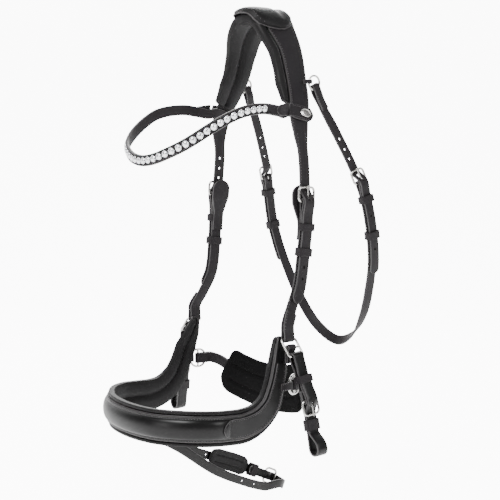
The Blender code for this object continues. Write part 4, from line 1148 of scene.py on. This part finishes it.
def bit_strap(side):
    line, body = placed(BIT, side), "bit_hanger_" + side
    point, along, _, out = line.frame(0)
    offset = mirrored(LINK_BOTTOM, side) - point
    bs, bu = float(np.dot(offset, along)), float(np.dot(offset, out))
    end, heel = line.length, BIT_HEEL
    chape = [(heel - 12, 2.7), (heel - 4, 2.5)] + arc(heel, BIT_FRAME_LIFT, HEEL_FOLD, -80, 75, 9)
    chape += [(heel - 6, 7.6), (heel - 15, 5.5), (bs + 14, 5.6), (bs + 7, bu + 3.9)]
    inner = [(bs + 8, bu - 3.4), (bs + 17, 0), (end - 18, 0)]
    loop = arc(end - 2, BIT_LOOP_RADIUS - 0.4, BIT_LOOP_RADIUS, -80, 100, 11)
    outer = [(end - 9, 12.6), (end - 13.5, 9.2), (end - 17.5, 5.4), (end - 21, 3.2),
             (end - 25, 2.75), (heel + 22, 2.7), (heel + 17, 2.7)]
    billet = [(heel + 12.8, 3.3), (heel + 6.2, 7.9), (heel + 3.2, 10.5), (heel, 11.4),
              (heel - 4, 11.1), (heel - 13, 9.0), (heel - 20, 8.2), (heel - 27, 8.2)]
    profile = chape + arc(bs, bu, 4.2, 75, 285, 9) + inner + loop + outer + billet
    path = side_view(line, profile)
    cuts = [(path.near(line.at(heel + HEEL_FOLD, BIT_FRAME_LIFT)), *BAR_SLOT),
            (path.near(line.at(heel + 6.4, 7.7)), *TONGUE_SLOT)]
    shape = strap(Shape(), path, 15, 2.4, slots=cuts, rounded=(False, True), face=GLOSSY_SHADED)
    middle = path.near(line.at((heel + bs)/2, 0))
    for w in (-5.8, 5.8):
        stitch(shape, path, w, 1.2, middle - 14, middle + 22, face=-1, pitch=3.0, length=2.0)
    shape.make("bit_strap_skin_" + side, body, "leather", "bit_strap_" + side)
    buckle_set("bit", side, body, line, heel, 23, BIT_FRAME_LIFT, 1)
    keeper_loop("bit_loop_" + side, body, line, end - 30, -1.7, 4.6, STRAP_WIDTH + 2.0, 13,
                "bit_keeper_" + side)
    keeper_loop("bit_upper_loop_" + side, body, line, heel - 25, -1.6, 10.0, STRAP_WIDTH + 1.6, 9)


# ---- flash strap

def flash():
    centre = FLASH.points[np.argmin(FLASH.points[:, 1])] + np.array([0.0, 0.4, 0.0])
    up, back = unit(np.array([0.0, 0.42, 0.9])), unit(np.array([0.0, 0.9, -0.42]))
    rings = []
    inner, outer = rounded_loop(5.6, 13.6, 1.5, 4), rounded_loop(8.4, 16.4, 2.6, 4)
    for (a, b), (c, d) in zip(inner, outer):
        low, high = centre + back*a + up*b, centre + back*c + up*d
        rings.append([low + np.array([x, 0, 0]) + (high - low)*g
                      for x, g in ((-3, 0), (-3, 0.7), (-2.6, 1), (0, 1.06), (2.6, 1), (3, 0.7),
                                   (3, 0))])
    loft(Shape(), rings, LEATHER, closed=True).make("flash_keeper", "noseband", "leather",
                                                    "flash_loop")

    heel, lift = FLASH_HEEL, FLASH_FRAME_LIFT
    chape = [(18, -2.8), (6, -4.2)] + arc(heel, lift, HEEL_FOLD, -75, -285, 9) + [(4, -0.1)]
    run = [(20, 0), (FLASH.length/2, 0), (FLASH.length, 0)]
    tail = [(-14, -27, 4), (-24, -21, 4), (-29, -12, 3), (-28.5, -4, 2), (-25, 0.2, 1),
            (-21, 0.4, 0), (-17, -0.3, 0), (-10.2, -5.6, 0), (-7.2, -8.2, 0), (-4, -9.0, 0),
            (0, -8.6, 0), (10, -6.3, 0), (24, -5.8, 0)]
    flat = smooth([(s, u, 0.0) for s, u in chape + run], 1.5)
    path = [FLASH.at(s, u) for s, u in flat[:, :2]]
    around = smooth([path[-1] - 6*FLASH.frame(FLASH.length)[1], path[-1]]
                    + [FLASH.at(s, u, w) for s, u, w in tail], 1.5)
    path = path[:-4] + list(around[5:])
    path = Path(path, (0, 0.42, 0.9))
    holes = [path.near(FLASH.at(s)) for s in (96, FLASH.length - 40, FLASH.length - 20)]
    shape = strap(Shape(), path, 11.0, 2.2, rounded=(False, True), holes=holes, face=GLOSSY_SHADED)
    shape.make("flash_strap_skin", "flash", "leather", "flash_strap")
    buckle_frame("flash_frame", "flash", FLASH, heel, 19, "flash_buckle", lift)

    keeper_loop("flash_end_loop", "flash", FLASH, 17, -7.7, 1.7, 13.4, 9)

    path = along_line(FLASH, 27, 92, -3.6, 1.4)
    shares = [(0, 14), (0.06, 20), (0.14, 24), (0.8, 24), (0.94, 20), (1, 14)]

    def ribs(half, t):
        deep = 0.9*min(1.0, max(0.0, (min(t, path.length - t) - 6)/4))
        face = [(half*x, 0.5*x*x + deep*math.exp(-((abs(x) - 0.36)/0.07)**2))
                for x in np.linspace(-0.9, 0.9, 21)]
        return ([(-half, 0.3), (-half*0.97, -1.4)] + [(w, -2.0 + u) for w, u in face]
                + [(half*0.97, -1.4), (half, 0.3), (half*0.95, 1.6)]
                + [(w, 2.0 - u) for w, u in reversed(face)] + [(-half*0.95, 1.6)])

    shape = pad(path, shares, ribs, SOFT_SHADED, ends=7)
    shape.make("flash_cushion", "flash", "lining", "flash_pad")


headpiece()
throat_strap()
browband()
noseband()
chin_strap()
flash()
for one_side in ("left", "right"):
    throat_lash(one_side)
    browband_end(one_side)
    cheekpiece(one_side)
    overlay(one_side)
    noseband_side(one_side)
    bit_strap(one_side)


# ---- studio

VIEW_AZIMUTH, VIEW_TILT = 52.0, 6.22   # degrees, of the camera round and above the bridle
FLOOR_DROP = 0.66                      # metres from the frame's origin down to the floor
LIGHT_AIM = Vector((0, -0.03, -0.28))


def brighter_to_camera(tree, target, unseen, seen):
    """One strength for the light a surface gives and another for how the camera sees it."""
    ray, level = tree.nodes.new("ShaderNodeLightPath"), tree.nodes.new("ShaderNodeMix")
    level.inputs[2].default_value, level.inputs[3].default_value = unseen, seen
    tree.links.new(ray.outputs["Is Camera Ray"], level.inputs[0])
    tree.links.new(level.outputs[0], target)


def direction(azimuth, elevation):
    a, e = math.radians(azimuth), math.radians(elevation)
    return Vector((math.sin(a)*math.cos(e), -math.cos(a)*math.cos(e), math.sin(e)))


def studio():
    scene = bpy.context.scene
    floor_finish = node_material("studio_white", (0.9, 0.9, 0.9), 0.95)
    glow = floor_finish.node_tree.nodes["Principled BSDF"].inputs
    glow["Emission Color"].default_value = (1.0, 1.0, 1.0, 1.0)
    brighter_to_camera(floor_finish.node_tree, glow["Emission Strength"], 1.6, 9.0)
    rows = [(-3.5, 0.0)] + [(y, 0.0) for y in np.linspace(-2, 1.2, 9)]
    rows += [(1.2 + 1.2*math.sin(a), 1.2 - 1.2*math.cos(a))
             for a in np.linspace(0.15, math.pi/2, 12)]
    rows += [(2.4, 4.0)]
    turn = math.radians(VIEW_AZIMUTH)
    verts = []
    for y, z in rows:
        for x in (-6.0, 6.0):
            verts.append((x*math.cos(turn) - y*math.sin(turn),
                          x*math.sin(turn) + y*math.cos(turn), z - FLOOR_DROP))
    mesh = bpy.data.meshes.new("studio_sweep")
    mesh.from_pydata(verts, [], [[2*i, 2*i + 1, 2*i + 3, 2*i + 2] for i in range(len(rows) - 1)])
    mesh.materials.append(floor_finish)
    mesh.polygons.foreach_set("use_smooth", [True]*len(mesh.polygons))
    floor = bpy.data.objects.new("studio_sweep", mesh)
    scene.collection.objects.link(floor)

    world = bpy.data.worlds.new("studio")
    scene.world = world
    world.use_nodes = True
    sky = world.node_tree.nodes["Background"].inputs
    sky["Color"].default_value = (1.0, 1.0, 1.0, 1.0)
    brighter_to_camera(world.node_tree, sky["Strength"], 0.22, 9.0)

    def lamp(name, azimuth, elevation, distance, size, power):
        place = direction(azimuth, elevation)*distance
        place += LIGHT_AIM
        light = bpy.data.lights.new(name, "AREA")
        light.shape, light.size, light.energy = "SQUARE", size, power
        item = bpy.data.objects.new(name, light)
        item.location = place
        item.rotation_euler = (LIGHT_AIM - place).to_track_quat("-Z", "Y").to_euler()
        scene.collection.objects.link(item)

    lamp("key", 15, 50, 1.9, 0.9, 62)
    lamp("fill", 105, 25, 2.2, 0.9, 26)
    lamp("rim", 235, 40, 2.0, 0.9, 40)
    lamp("low", 5, 5, 1.8, 0.5, 6)

    back = direction(VIEW_AZIMUTH, VIEW_TILT)
    lens = bpy.data.cameras.new("camera")
    lens.lens, lens.sensor_width = 82.54, 36.0
    camera = bpy.data.objects.new("camera", lens)
    camera.location = (1.11932, -0.89920, -0.11968)
    camera.rotation_euler = (-back).to_track_quat("-Z", "Y").to_euler()
    scene.collection.objects.link(camera)
    scene.camera = camera


studio()
